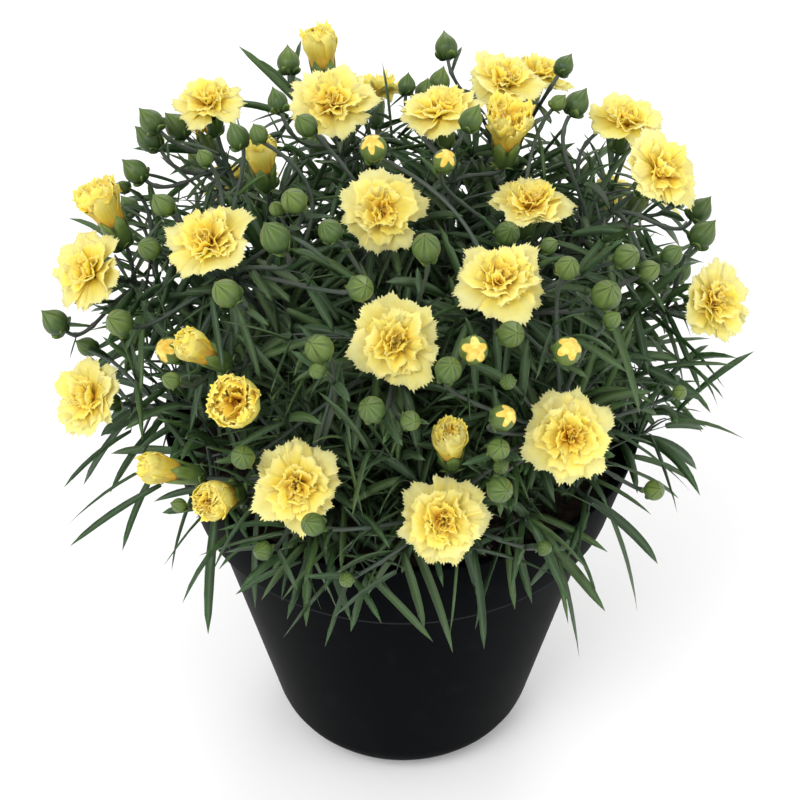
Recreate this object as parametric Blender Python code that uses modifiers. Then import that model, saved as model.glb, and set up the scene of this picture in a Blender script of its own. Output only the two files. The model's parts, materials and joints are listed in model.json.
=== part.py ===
"""A potted dianthus: a black tapered pot filled with soil, and a crown of leafy stems, buds and double yellow blooms.

Metres, +Z up. The origin is the middle of the pot's foot, on the surface that it stands on. The front is towards -Y.
The plant is one body that grew, but each leafy spray, each bloom and each opening bud is a node of its own.
"""

import math
import random

import bmesh
import bpy
import numpy as np
from mathutils import Matrix, Vector

MM = 0.001

# The pot, from the foot up
FOOT_RADIUS = 70 * MM  # where the wall's line would meet the ground
FOOT_ROUNDING = 28 * MM
BODY_TOP_RADIUS = 109 * MM
BAND_LOW_Z = 169 * MM  # lower edge of the collar band, which stands proud of the body
BAND_LOW_RADIUS = 115 * MM
RIM_Z = 219 * MM
RIM_RADIUS = 127 * MM
RIM_ROUNDING = 2 * MM
WALL = 2.4 * MM
POT_SIDES = 28
FOOT_STEPS = 3
DRAIN_RADIUS = 5 * MM
DRAIN_RING = 30 * MM
DRAIN_COUNT = 5

# The soil and the holes that the stems stand in
SOIL_Z = 196 * MM
SOIL_GAP = 0.6 * MM
HOLE_RADIUS = 3.2 * MM
HOLE_DEPTH = 14 * MM
HOLE_SIDES = 5
SEAT_GAP = 0.3 * MM

# The view that heads are placed by: an eye in front of the plant, looking down at it
EYE = np.array((0.0, -0.820, 0.902))
EYE_DIP = math.radians(39.7)
EYE_FOCAL = 2000.0  # in picture columns
EYE_MIDDLE = (403, 400)  # column and row that the eye looks straight at

# The crown, a squarish dome that heads and buds sit on
CROWN_Z = 205 * MM
CROWN_REACH = 165 * MM
CROWN_RISE = 190 * MM
CROWN_POWER = 3.0

# Open blooms: column, row, depth in mm behind the pot's middle, heading, lean and radius in mm.
# Heading 0 faces the viewer and 90 the viewer's right. Lean is the angle from upright.
FRONT_BLOOMS = (
    (210, 103, 60, -60, 8, 20),
    (333, 105, 60, -10, 25, 23),
    (441, 112, 35, -110, 12, 23),
    (505, 82, 80, 30, 15, 21),
    (627, 122, 55, 60, 10, 21),
    (660, 173, 0, 50, 38, 23),
    (90, 272, -10, -40, 50, 22),
    (210, 243, -40, -30, 27, 23),
    (383, 212, -20, 0, 42, 22),
    (530, 205, -5, 60, 6, 21),
    (500, 281, -70, 0, 22, 23),
    (714, 302, -20, 42, 55, 22),
    (396, 343, -95, 0, 48, 23),
    (90, 398, -55, -48, 52, 22),
    (570, 436, -115, 8, 50, 23),
    (298, 485, -128, -5, 50, 22.5),
    (443, 520, -135, 0, 54, 23),
)
# Open blooms behind the crown: heading from the pot's middle, height above ground in mm, lean and radius in mm
BACK_BLOOMS = (
    (122, 300, 50, 22),
    (148, 352, 22, 22),
    (160, 262, 62, 21),
    (186, 318, 42, 23),
    (214, 270, 60, 22),
    (228, 330, 38, 22),
)
# Opening buds: column, row, depth in mm, heading, lean and radius in mm
FRONT_OPENINGS = (
    (262, 160, 20, -30, 10, 8.5),
    (507, 135, 30, 20, 8, 9.5),
    (108, 214, 15, -110, 25, 9.5),
    (200, 350, -85, -70, 45, 8),
    (240, 403, -105, -8, 48, 11),
    (450, 445, -118, -10, 18, 8.5),
    (166, 470, -95, -80, 68, 8),
    (221, 498, -118, -25, 58, 9.5),
)
BACK_OPENINGS = (
    (136, 268, 45, 9),
    (200, 360, 20, 9),
)
# Closed buds: column, row and radius in mm
FRONT_BUDS = (
    (150, 120, 6), (148, 138, 6.5), (134, 170, 6), (162, 204, 5.5), (148, 248, 5.5), (237, 135, 5.5),
    (258, 133, 4.5), (277, 100, 5), (305, 124, 5.5), (293, 200, 6), (274, 236, 7), (329, 230, 5.5),
    (225, 292, 6.5), (54, 321, 6.5), (118, 322, 6.5), (86, 346, 5), (168, 350, 6.5), (318, 348, 6.5),
    (361, 288, 6), (373, 147, 6.5), (407, 84, 4.5), (425, 90, 5), (440, 80, 5.5), (445, 160, 5.5),
    (472, 118, 5.5), (426, 246, 6.5), (512, 334, 6), (474, 350, 6.5), (449, 369, 6), (508, 233, 6),
    (568, 350, 6.5), (578, 102, 6), (568, 267, 5.5), (607, 294, 7), (628, 256, 6), (650, 270, 5),
    (701, 209, 6), (704, 233, 6.5), (673, 254, 5), (371, 409, 6), (411, 421, 4.5), (504, 417, 6),
    (499, 449, 5), (501, 490, 6), (243, 457, 5.5), (312, 524, 5.5), (262, 551, 4.5), (655, 490, 5),
)
# Closed buds behind the crown: heading, height above ground in mm and radius in mm
BACK_BUDS = (
    (108, 322, 6), (112, 262, 5.5), (132, 335, 6), (136, 372, 5), (146, 286, 6.5), (158, 330, 5),
    (168, 375, 6), (172, 290, 6), (180, 250, 5), (198, 285, 6.5), (204, 335, 5), (212, 372, 6),
    (226, 300, 5.5), (236, 268, 6), (240, 350, 6.5), (248, 306, 5),
)

BUD_PUSHES = (0, 4, -4, 8, -8, 12, 16, 20, 26, 32, 40, 50)  # how far in a bud may be moved to be clear, in mm

# Stems and leaves
STEM_RADIUS = 1.6 * MM
BRANCH_RADIUS = 1.05 * MM
ROOT_SPREAD = 0.36  # how far out a stem is rooted, beside how far out its bloom is
ROOT_SPACING = 9 * MM
LEAF_LENGTHS = (66 * MM, 30 * MM)  # at the foot of a stem and at its top
LONG_LEAF = 45 * MM  # from this length a leaf is modelled with one more bend
LONG_LEAF_SHAPE = ((0.30, 1.0), (0.66, 0.78))  # places along it, and width there beside the widest
SHORT_LEAF_SHAPE = ((0.42, 1.0),)
LEAF_WIDTH = 5.4 * MM
LEAF_KEEL = 1.1 * MM
SKIRT_SHOOTS = 16  # short side shoots that lean out over the rim
SKIRT_LEAF = 60 * MM
BRANCH_TRIES = 60
STEM_NODES = (0.10, 0.26, 0.42, 0.58, 0.74, 0.88)  # the joints that leaves and branches grow from, along a stem
SHOOT_NODES = (0.50, 0.74, 0.95)
NODE_LENGTH = 3.2 * MM
NODE_SWELL = 1.15
SEED = 11

# Heads: the calyx is the green cup that a bloom's petals stand in
CALYX_LENGTH = 15 * MM
CALYX_RADIUS = 5.2 * MM
TOOTH = 2.8 * MM
BUD_STRETCH = 1.35  # half length beside radius
CLEARANCE = 0.8 * MM
LARGEST_BALL = 12.5 * MM
PETAL_POINTS = 14
TUFT_POINTS = 7
PETALS = 1000  # added to a head's number, for its petals in the room


def unit(vector):
    return vector / np.linalg.norm(vector)


def facing(heading, lean):
    """The unit vector with this heading, clockwise from the viewer, and this lean from upright."""
    turn, tip = math.radians(heading), math.radians(lean)
    return np.array((math.sin(turn) * math.sin(tip), -math.cos(turn) * math.sin(tip), math.cos(tip)))


def heading_of(point):
    return math.degrees(math.atan2(point[0], -point[1]))


def sight_line(column, row):
    """Direction from the eye through this column and row."""
    across = (column - EYE_MIDDLE[0]) / EYE_FOCAL
    rise = (EYE_MIDDLE[1] - row) / EYE_FOCAL
    forward = math.cos(EYE_DIP) + rise * math.sin(EYE_DIP)
    upward = rise * math.cos(EYE_DIP) - math.sin(EYE_DIP)
    return np.array((across, forward, upward))


def seen_at(column, row, depth):
    """The point seen at this column and row that lies this far behind the pot's middle."""
    line = sight_line(column, row)
    return EYE + line * ((depth - EYE[1]) / line[1])


def crown_level(points):
    """Under 1 inside the crown's dome, 1 on it and over 1 outside."""
    out = np.hypot(points[..., 0], points[..., 1]) / CROWN_REACH
    up = np.maximum(points[..., 2] - CROWN_Z, 0) / CROWN_RISE
    return out**CROWN_POWER + up**CROWN_POWER


def on_crown(column, row):
    """Where the sight line first meets the dome, or comes nearest to it."""
    line = sight_line(column, row)
    depths = np.linspace(-0.20, 0.16, 181)
    points = EYE + line * ((depths - EYE[1]) / line[1])[:, None]
    level = crown_level(points)
    inside = np.flatnonzero(level < 1)
    return points[inside[0] if len(inside) else level.argmin()]


def behind_crown(heading, height):
    """The dome's point at this heading and height."""
    up = max(height - CROWN_Z, 0) / CROWN_RISE
    out = CROWN_REACH * max(1 - up**CROWN_POWER, 0) ** (1 / CROWN_POWER)
    turn = math.radians(heading)
    return np.array((out * math.sin(turn), -out * math.cos(turn), height))


def bezier(controls, steps):
    """Points of the curve with these control points, at each step from 0 to 1."""
    share = np.asarray(steps, float)[:, None]
    rows = [np.repeat(np.asarray(c, float)[None], len(share), 0) for c in controls]
    while len(rows) > 1:
        rows = [a + (b - a) * share for a, b in zip(rows, rows[1:])]
    return rows[0]


def pot_radius(height):
    """The pot's outer radius at this height, above its foot rounding."""
    body = FOOT_RADIUS + (BODY_TOP_RADIUS - FOOT_RADIUS) * height / BAND_LOW_Z
    band = BAND_LOW_RADIUS + (RIM_RADIUS - BAND_LOW_RADIUS) * (height - BAND_LOW_Z) / (RIM_Z - BAND_LOW_Z)
    return np.where(height > BAND_LOW_Z - 3 * MM, band, body)


class Room:
    """What is taken so far, as balls along each stem, leaf and head, each with its owner."""

    def __init__(self):
        self.centres = np.empty((0, 3))
        self.radii = np.empty(0)
        self.owners = np.empty(0, int)

    def take(self, points, radius, owner):
        self.centres = np.vstack([self.centres, points])
        self.radii = np.append(self.radii, np.broadcast_to(radius, len(points)))
        self.owners = np.append(self.owners, np.full(len(points), owner))

    def free(self, points, radius, owners=(), gap=CLEARANCE):
        """True if balls here would be clear of the pot, the soil and all that is not these owners'."""
        radius = np.broadcast_to(radius, len(points)) + gap
        out, up = np.hypot(points[:, 0], points[:, 1]), points[:, 2]
        above = up > RIM_Z + radius
        outside = out > pot_radius(up) + radius
        inside = (out < pot_radius(up) - 3 * WALL - radius) & (up > SOIL_Z + radius)
        if not (above | outside | inside).all():
            return False
        reach = LARGEST_BALL + radius.max()
        near = ((self.centres > points.min(axis=0) - reach) & (self.centres < points.max(axis=0) + reach)).all(axis=1)
        near &= ~np.isin(self.owners, owners)
        if not near.any():
            return True
        apart = np.linalg.norm(points[:, None] - self.centres[None, near], axis=2)
        return bool((apart - self.radii[None, near] - radius[:, None]).min() > 0)


def dish_balls(head):
    """Balls that fill a bloom's petals, as a middle one and two rings."""
    axis, radius = head["axis"], head["radius"]
    side = unit(np.cross(axis, (0.3, 0.2, 0.9)))
    other = np.cross(axis, side)
    centre = head["base"] + axis * (CALYX_LENGTH + 6.5 * MM)
    rings = [centre[None]]
    for share, count in ((0.4, 7), (0.8, 13)):
        turns = np.arange(count) * 2 * math.pi / count
        rings.append(centre + radius * share * (side * np.cos(turns)[:, None] + other * np.sin(turns)[:, None]))
    return np.vstack(rings)


def place_heads(room):
    """Blooms and opening buds as dicts. Each calyx and each head's petals take their room."""
    heads = []
    for kind, front, back in (("bloom", FRONT_BLOOMS, BACK_BLOOMS), ("opening", FRONT_OPENINGS, BACK_OPENINGS)):
        listed = [(seen_at(c, r, d * MM), facing(h, lean), size * MM) for c, r, d, h, lean, size in front]
        for heading, height, lean, size in back:
            listed.append((behind_crown(heading, height * MM), facing(heading, lean), size * MM))
        for middle, axis, radius in listed:
            base = middle - axis * (CALYX_LENGTH + 5 * MM)
            heads.append({"kind": kind, "base": base, "axis": axis, "radius": radius})
    for number, head in enumerate(heads):
        calyx_line = head["base"] + head["axis"] * np.linspace(0.1, 1, 5)[:, None] * CALYX_LENGTH
        room.take(calyx_line, CALYX_RADIUS, number)
        if head["kind"] == "bloom":
            room.take(dish_balls(head), 6.2 * MM, PETALS + number)
        else:
            tuft = head["base"] + head["axis"] * (CALYX_LENGTH + np.linspace(0.8, 2.2, 3)[:, None] * head["radius"])
            room.take(tuft, head["radius"] * 1.1, PETALS + number)
    return heads


def place_roots(blooms):
    """Where each bloom's stem leaves the soil: under it but nearer the middle, and apart from the others."""
    roots = np.array([b["base"][:2] * ROOT_SPREAD for b in blooms])
    for _ in range(60):
        for i in range(len(roots)):
            away = roots[i] - np.delete(roots, i, 0)
            apart = np.linalg.norm(away, axis=1)
            near = apart < ROOT_SPACING
            roots[i] += ((away[near].T / apart[near]) * (ROOT_SPACING - apart[near]) * 0.5).sum(axis=1)
    return roots


def grow_stems(room, blooms):
    """One stem for each bloom, upright in the soil and in line with the bloom at its top."""
    stems = []
    for owner, (bloom, root) in enumerate(zip(blooms, place_roots(blooms))):
        foot = np.array((*root, SOIL_Z))
        axis = bloom["axis"]
        top = bloom["base"]
        span = np.linalg.norm(top - foot)
        best = None
        for bulge in (0.0, 0.25, -0.25, 0.5, -0.5, 0.8, -0.8):
            side = unit(np.array((-foot[1], foot[0], 0.0))) * bulge * span * 0.3
            controls = (foot, foot + (0, 0, 0.4 * span), top - axis * 0.35 * span + side, top)
            line = bezier(controls, np.linspace(0, 1, 48))
            if best is None:
                best = controls
            if room.free(line[4:-3], STEM_RADIUS, [owner]):
                best = controls
                break
        room.take(bezier(best, np.linspace(0, 1, 60)), STEM_RADIUS, owner)
        line = bezier(best, np.linspace(0, 1, 41))
        stems.append({"controls": best, "line": line, "shoots": [], "buds": [], "leaves": [], "openings": []})
    return stems


def join_branch(room, stems, base, axis, reach, skip=()):
    """The shortest clear branch from some stem's node to this head: (its stem, node, control points), or None."""
    choices = []
    for owner, stem in enumerate(stems):
        steps = np.array([round(share * 40) for share in STEM_NODES[1:]])
        starts, along = stem["line"][steps], stem["line"][steps + 1] - stem["line"][steps - 1]
        along /= np.linalg.norm(along, axis=1)[:, None]
        span = np.linalg.norm(base - starts, axis=1)
        rises = ((base - starts) * along).sum(axis=1) / span
        for i in np.flatnonzero((span > 12 * MM) & (span < reach) & (rises > 0.3)):
            choices.append((span[i] * (2 - rises[i]), owner, i + 1, starts[i], along[i]))
    for _, owner, node, start, along in sorted(choices, key=lambda c: c[0])[:BRANCH_TRIES]:
        span = np.linalg.norm(base - start)
        for push in (0.35, 0.55, 0.2):
            parting = unit(along + (base - start) / span)
            controls = (start, start + parting * push * span, base - axis * 0.35 * span, base)
            line = bezier(controls, np.linspace(0, 1, 24))
            away = np.linalg.norm(line - start, axis=1)
            clear = room.free(line[2:], BRANCH_RADIUS, [owner, *skip])
            clear = clear and room.free(line[away > 5 * MM], 0.7 * BRANCH_RADIUS, skip, 0.2 * MM)
            if clear and room.free(line[9:], BRANCH_RADIUS, skip, 0.4 * MM):
                return owner, node, controls
    return None


def grow_openings(room, stems, heads, first):
    """Joins each opening bud to a stem. first is the number of the first opening bud among the heads."""
    for number, head in enumerate(heads):
        found = join_branch(room, stems, head["base"], head["axis"], 140 * MM, [first + number])
        if found is None:
            continue
        owner, node, controls = found
        room.take(bezier(controls, np.linspace(0, 1, 30)), BRANCH_RADIUS, owner)
        room.owners[room.owners == first + number] = owner
        stems[owner]["openings"].append({**head, "controls": controls, "node": node})


def grow_buds(room, stems, rng):
    """Closed buds on the dome, pushed back along the sight line until they are clear."""
    wanted = [(on_crown(c, r), size * MM, unit(sight_line(c, r))) for c, r, size in FRONT_BUDS]
    for heading, height, size in BACK_BUDS:
        spot = behind_crown(heading, height * MM)
        wanted.append((spot, size * MM, -unit(np.array((spot[0], spot[1], 0.04)))))
    for spot, radius, inward in wanted:
        lean = 12 + 34 * min(np.hypot(spot[0], spot[1]) / CROWN_REACH, 1) + rng.uniform(-8, 14)
        axis = facing(heading_of(spot) + rng.uniform(-35, 35), lean)
        for push in BUD_PUSHES:
            middle = spot + inward * push * MM
            body = middle + axis * np.array((-0.55, 0.0, 0.55))[:, None] * radius
            base = middle - axis * radius * BUD_STRETCH
            if not room.free(body, radius):
                continue
            found = join_branch(room, stems, base, axis, 110 * MM)
            if found is None:
                continue
            owner, node, controls = found
            room.take(bezier(controls, np.linspace(0, 1, 24)), BRANCH_RADIUS, owner)
            room.take(body, radius, owner)
            bud = {"controls": controls, "axis": axis, "radius": radius, "node": node}
            stems[owner]["buds"].append(bud)
            break


def leaf_controls(start, along, outward, length, droop, spread):
    """A leaf's arc: it leaves the stem at an angle and bends over by its droop."""
    first = unit(along * math.cos(spread) + outward * math.sin(spread))
    last = unit(first + np.array((0, 0, -droop)) + outward * 0.25)
    return (start, start + first * length * 0.5, start + first * length * 0.5 + last * length * 0.5)


def grow_leaf(room, owner, rng, line, share, turn, length, droop):
    """One leaf at a node, turned about the stem until it is clear. None if it never is."""
    step = min(round(share * 40), 39)
    start = line[step]
    along = unit(line[step + 1] - line[step - 1])
    side = unit(np.cross(along, (0.31, 0.17, 0.93)))
    other = np.cross(along, side)
    for attempt in range(14):
        angle = turn + (attempt % 7 - 3) * 0.28 + rng.uniform(-0.15, 0.15)
        outward = side * math.cos(angle) + other * math.sin(angle)
        size = length * rng.uniform(0.85, 1.12) * (0.92**attempt)
        bend = droop * rng.uniform(0.6, 1.5)
        controls = leaf_controls(start, along, outward, size, bend, rng.uniform(0.6, 1.0))
        arc = bezier(controls, np.linspace(0.0, 1, 15))
        near = arc[np.linalg.norm(arc - start, axis=1) > 5 * MM]
        if room.free(arc[3:], 2.2 * MM) and room.free(near, 1 * MM, (), 0.2 * MM):
            room.take(arc, 2.2 * MM, owner)
            broad = LEAF_WIDTH * rng.uniform(0.8, 1.12)
            level = unit(np.cross(outward, along))
            return {"controls": controls, "level": level, "broad": broad, "long": size > LONG_LEAF, "toward": outward}
    return None


def grow_skirt(room, stems, rng):
    """Short leafy shoots that lean out over the rim, evenly round the pot, each on the nearest stem."""
    feet = np.array([s["controls"][0][:2] for s in stems])
    for number in range(SKIRT_SHOOTS):
        heading = (number + rng.uniform(-0.25, 0.25)) * 360 / SKIRT_SHOOTS
        outward = facing(heading, 90)
        near = feet @ outward[:2] - 0.6 * np.linalg.norm(feet - outward[:2] * feet.max(), axis=1)
        for attempt in range(12):
            turned = facing(heading + (attempt - 6) * 3, 90)
            end = turned * (RIM_RADIUS - rng.uniform(-4, 10) * MM) + (0, 0, RIM_Z + rng.uniform(9, 18) * MM)
            owner = int(np.argsort(-near)[attempt % 3])
            line = stems[owner]["line"]
            step = round(STEM_NODES[0] * 40)
            start, along = line[step], unit(line[step + 1] - line[step - 1])
            span = np.linalg.norm(end - start)
            controls = (start, start + unit(along + turned) * 0.35 * span, end - turned * 0.35 * span, end)
            path = bezier(controls, np.linspace(0, 1, 41))
            if room.free(path[4:], BRANCH_RADIUS, [owner]) and room.free(path[10:], BRANCH_RADIUS, (), 0.4 * MM):
                room.take(path, BRANCH_RADIUS, owner)
                stems[owner]["shoots"].append({"controls": controls, "line": path, "leaves": [], "node": 0})
                break


def grow_leaves(room, stems, rng):
    """Opposite leaf pairs, each pair crosswise to the last, first on the side shoots and then up the stems."""
    for owner, stem in enumerate(stems):
        for shoot in stem["shoots"]:
            for node, share in enumerate(SHOOT_NODES):
                for half in (0, math.pi):
                    turn = node * math.pi / 2 + half + 0.4
                    leaf = grow_leaf(room, owner, rng, shoot["line"], share, turn, SKIRT_LEAF, 1.1)
                    shoot["leaves"] += [{**leaf, "node": node}] if leaf else []
    for node, share in enumerate(STEM_NODES):
        length = LEAF_LENGTHS[0] + (LEAF_LENGTHS[1] - LEAF_LENGTHS[0]) * share
        for owner, stem in enumerate(stems):
            for half in (0, math.pi):
                turn = node * math.pi / 2 + owner + half
                leaf = grow_leaf(room, owner, rng, stem["line"], share, turn, length, 0.7)
                stem["leaves"] += [{**leaf, "node": node}] if leaf else []


def grow_plant():
    """The whole plant as (stems, blooms). Nothing in one stem's set crosses another's."""
    rng = random.Random(SEED)
    room = Room()
    heads = place_heads(room)
    blooms = [h for h in heads if h["kind"] == "bloom"]
    stems = grow_stems(room, blooms)
    grow_openings(room, stems, heads[len(blooms):], len(blooms))
    grow_buds(room, stems, rng)
    grow_skirt(room, stems, rng)
    grow_leaves(room, stems, rng)
    return stems, blooms


def finish_material(name, colour, roughness):
    material = bpy.data.materials.new(name)
    material.use_nodes = True
    shader = material.node_tree.nodes["Principled BSDF"]
    shader.inputs["Base Color"].default_value = (*colour, 1)
    shader.inputs["Roughness"].default_value = roughness
    material.diffuse_color = (*colour, 1)
    return material


def add_object(name, mesh, collection, material=None):
    obj = bpy.data.objects.new(name, mesh)
    collection.objects.link(obj)
    if material:
        mesh.materials.append(material)
    return obj


def mesh_from(bm, name):
    bmesh.ops.recalc_face_normals(bm, faces=bm.faces)
    if bm.calc_volume(signed=True) < 0:
        bmesh.ops.reverse_faces(bm, faces=bm.faces)
    mesh = bpy.data.meshes.new(name)
    bm.to_mesh(mesh)
    bm.free()
    return mesh


def turned(name, profile, sides, collection):
    """A closed profile of (radius, height) points that starts and ends on the axis, swept round it."""
    mesh = bpy.data.meshes.new(name)
    points = [(radius, 0, height) for radius, height in profile]
    mesh.from_pydata(points, [(i, i + 1) for i in range(len(points) - 1)], [])
    obj = add_object(name, mesh, collection)
    screw = obj.modifiers.new("Screw", "SCREW")
    screw.steps = screw.render_steps = sides
    screw.use_merge_vertices = True
    screw.merge_threshold = 0.00001
    return obj


def applied(obj):
    """The object's own mesh with its modifiers applied."""
    graph = bpy.context.evaluated_depsgraph_get()
    mesh = bpy.data.meshes.new_from_object(obj.evaluated_get(graph))
    obj.modifiers.clear()
    obj.data = mesh
    return obj


def foot_profile(inset):
    """The foot and its rounding, this far inside the outer face, from the axis outwards."""
    tip = math.atan2(BODY_TOP_RADIUS - FOOT_RADIUS, BAND_LOW_Z)
    middle_r = FOOT_RADIUS + FOOT_ROUNDING * math.tan(tip) - FOOT_ROUNDING / math.cos(tip)
    size = FOOT_ROUNDING - inset
    points = [(0, inset)]
    for step in range(FOOT_STEPS + 1):
        angle = -math.pi / 2 + (math.pi / 2 - tip) * step / FOOT_STEPS
        points.append((middle_r + size * math.cos(angle), FOOT_ROUNDING + size * math.sin(angle)))
    return points


def make_pot(collection, helpers):
    """One moulded shell: rounded foot, tapered wall, proud collar band and rolled rim, with drain holes."""
    outer = foot_profile(0) + [
        (BODY_TOP_RADIUS, BAND_LOW_Z),
        (BAND_LOW_RADIUS, BAND_LOW_Z),
        (RIM_RADIUS, RIM_Z - RIM_ROUNDING),
        (RIM_RADIUS - RIM_ROUNDING * 0.5, RIM_Z),
        (RIM_RADIUS - WALL * 1.4, RIM_Z),
    ]
    inner = [(BODY_TOP_RADIUS - WALL, BAND_LOW_Z - 2 * WALL)] + foot_profile(WALL)[::-1]
    pot = applied(turned("pot", (outer + inner)[::-1], POT_SIDES, collection))
    for number in range(DRAIN_COUNT):
        turn = 2 * math.pi * number / DRAIN_COUNT
        bpy.ops.mesh.primitive_cylinder_add(vertices=8, radius=DRAIN_RADIUS, depth=10 * WALL)
        drill = bpy.context.active_object
        drill.name = f"drain_cutter_{number}"
        drill.location = (DRAIN_RING * math.cos(turn), DRAIN_RING * math.sin(turn), 0)
        move_to(drill, helpers)
        cut(pot, drill)
    bpy.context.view_layer.update()
    return applied(pot)


def move_to(obj, collection):
    for old in list(obj.users_collection):
        old.objects.unlink(obj)
    collection.objects.link(obj)
    obj.hide_render = True
    obj.display_type = "WIRE"


def cut(obj, cutter):
    modifier = obj.modifiers.new("Cut", "BOOLEAN")
    modifier.operation = "DIFFERENCE"
    modifier.object = cutter


def make_soil(collection, helpers, stems):
    """Soil that fills the pot, with a plain hole for each stem."""
    inset = WALL + SOIL_GAP
    share = (SOIL_Z - BAND_LOW_Z) / (RIM_Z - BAND_LOW_Z)
    top = BODY_TOP_RADIUS - inset + (RIM_RADIUS - WALL * 1.4 - BODY_TOP_RADIUS + WALL) * share
    profile = foot_profile(inset) + [(BODY_TOP_RADIUS - inset, BAND_LOW_Z - 2 * WALL)]
    profile += [(top, SOIL_Z), (0, SOIL_Z)]
    soil = turned("soil", profile[::-1], POT_SIDES, collection)
    for number, stem in enumerate(stems):
        bpy.ops.mesh.primitive_cylinder_add(vertices=HOLE_SIDES, radius=HOLE_RADIUS, depth=2 * HOLE_DEPTH)
        drill = bpy.context.active_object
        drill.name = f"stem_cutter_{number}"
        drill.location = Vector(stem["controls"][0])
        move_to(drill, helpers)
        cut(soil, drill)
    bpy.context.view_layer.update()
    return applied(soil)


def circle(middle, along, level, radii, count, lifts=(0,)):
    """Points round an axis, their radii and their distances along it taken in turn."""
    across = unit(level - along * (level @ along))
    other = np.cross(along, across)
    points = []
    for i in range(count):
        angle = 2 * math.pi * i / count
        out = (across * math.cos(angle) + other * math.sin(angle)) * radii[i % len(radii)]
        points.append(middle + along * lifts[i % len(lifts)] + out)
    return points


def tangent(controls, place):
    middle, ahead = bezier(controls, (place, place + 0.01))
    return middle, unit(ahead - middle)


def level_of(controls):
    """A direction square to both ends of a curve, that its rings are laid out from."""
    first, last = unit(controls[1] - controls[0]), unit(controls[-1] - controls[-2])
    level = np.cross(first, last)
    if np.linalg.norm(level) < 0.02:
        level = np.cross(last, (0.3, 0.6, 0.1))
    return unit(level)


def stalk_rings(controls, places, radius, count):
    level = level_of(controls)
    return [circle(*tangent(controls, place), level, (radius,), count) for place in places]


def head_rings(controls, axis, shape):
    """Rings beyond a stalk's end. shape lists (distances, radii, count) for each, and a count of 1 closes it."""
    level = level_of(controls)
    rings = []
    for lifts, radii, count in shape:
        rings.append(circle(controls[-1], axis, level, radii, count, lifts))
    return rings


def bud_shape(radius):
    """A closed bud: the swelling, the shoulder and the point."""
    length = radius * BUD_STRETCH
    return (
        ((0.5 * length,), (0.97 * radius,), 6),
        ((1.3 * length,), (0.88 * radius,), 6),
        ((2.05 * length,), (0,), 1),
    )


def calyx_shape(count):
    """The green cup below a bloom's petals, with pointed teeth round its mouth."""
    return (
        ((1.5 * MM,), (CALYX_RADIUS * 0.66,), count),
        ((CALYX_LENGTH + TOOTH, CALYX_LENGTH - 1 * MM), (CALYX_RADIUS * 1.15, CALYX_RADIUS), 2 * count),
        ((CALYX_LENGTH - TOOTH,), (0,), 1),
    )


def leaf_rings(leaf):
    """A leaf: flat above, with a keel below, widest a third of the way along and drawn out to a point."""
    rings = []
    for place, width in LONG_LEAF_SHAPE if leaf["long"] else SHORT_LEAF_SHAPE:
        middle, along = tangent(leaf["controls"], place)
        across = unit(leaf["level"] - along * (leaf["level"] @ along))
        below = np.cross(along, across)
        half = leaf["broad"] / 2 * width
        rings.append((middle + across * half, middle + below * LEAF_KEEL, middle - across * half))
    return [*rings, (np.asarray(leaf["controls"][-1]),)]


def band(bm, low, high, slant=None):
    """Triangles between two rings of vertices, or between a ring and a point.

    slant says which way all the diagonals run. With None each runs so that the skin is fuller.
    """
    faces = []
    for i in range(max(len(low), len(high))):
        a, b = low[i % len(low)], low[(i + 1) % len(low)]
        c, d = high[i % len(high)], high[(i + 1) % len(high)]
        if len(low) == 1:
            corners = ((a, d, c),)
        elif len(high) == 1:
            corners = ((a, b, c),)
        elif len(high) == 2 * len(low):
            corners = forked(low, high, i)
        elif slant or slant is None and (d.co - a.co).dot((b.co - a.co).cross(c.co - a.co)) > 0:
            corners = ((a, b, d), (a, d, c))
        else:
            corners = ((a, b, c), (b, d, c))
        faces += [bm.faces.new(three) for three in corners]
    return faces


def forked(low, high, i):
    """One step round a band whose upper ring has twice the vertices of its lower one."""
    a, b = low[i // 2], low[(i // 2 + 1) % len(low)]
    if i % 2 == 0:
        return ((a, high[i + 1], high[i]), (a, b, high[i + 1]))
    return ((b, high[(i + 1) % len(high)], high[i]),)


def skinned(bm, low, rings, frilled=False):
    """Carries a skin from a ring of vertices over further rings of points. Gives the faces of each band.

    Frilled, the diagonals of every second band slant the other way, so that both faces of a petal are split alike.
    """
    bands = []
    for number, points in enumerate(rings):
        high = [bm.verts.new(point) for point in points]
        bands.append(band(bm, low, high, number % 2 == 1 if frilled else None))
        low = high
    return bands


def loft(rings):
    """A closed skin over rings of points, the first and the last of them single points."""
    bm = bmesh.new()
    skinned(bm, [bm.verts.new(rings[0][0])], rings[1:], frilled=True)
    return bm


def drawn_out(bm, root, rings):
    """Draws a stalk or a leaf out of one triangle, whose corners are matched to the first ring's."""
    corners = list(root.verts)
    spots = np.array([v.co for v in corners])
    spots -= spots.mean(axis=0)
    first = np.array(rings[0]) - np.mean(rings[0], axis=0)
    shifts = [sum(spots[(i + shift) % 3] @ first[i] for i in range(3)) for shift in range(3)]
    shift = shifts.index(max(shifts))
    bmesh.ops.delete(bm, geom=[root], context="FACES_ONLY")
    return skinned(bm, [corners[(i + shift) % 3] for i in range(3)], rings)


def take_root(hosts, toward, level):
    """The free triangle of a node that faces this way the most. It is then no longer free.

    Each side of a node has a lower and an upper triangle: leaves take level 0 and branches, in their axils, 1.
    """
    best = max(hosts, key=lambda host: host[0].dot(Vector(toward).normalized()) + 0.4 * (host[1] == level))
    hosts.remove(best)
    return best[2]


def hosts_of(faces):
    """A node's band as (normal, level, face) for each triangle."""
    for face in faces:
        face.normal_update()
    return [(face.normal.copy(), number % 2, face) for number, face in enumerate(faces)]


def node_places(shares, used, length):
    """Places of the two rings at each used node, as pairs."""
    half = NODE_LENGTH / length / 2
    return [(shares[node] - half, shares[node] + half) for node in sorted(used)]


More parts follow.
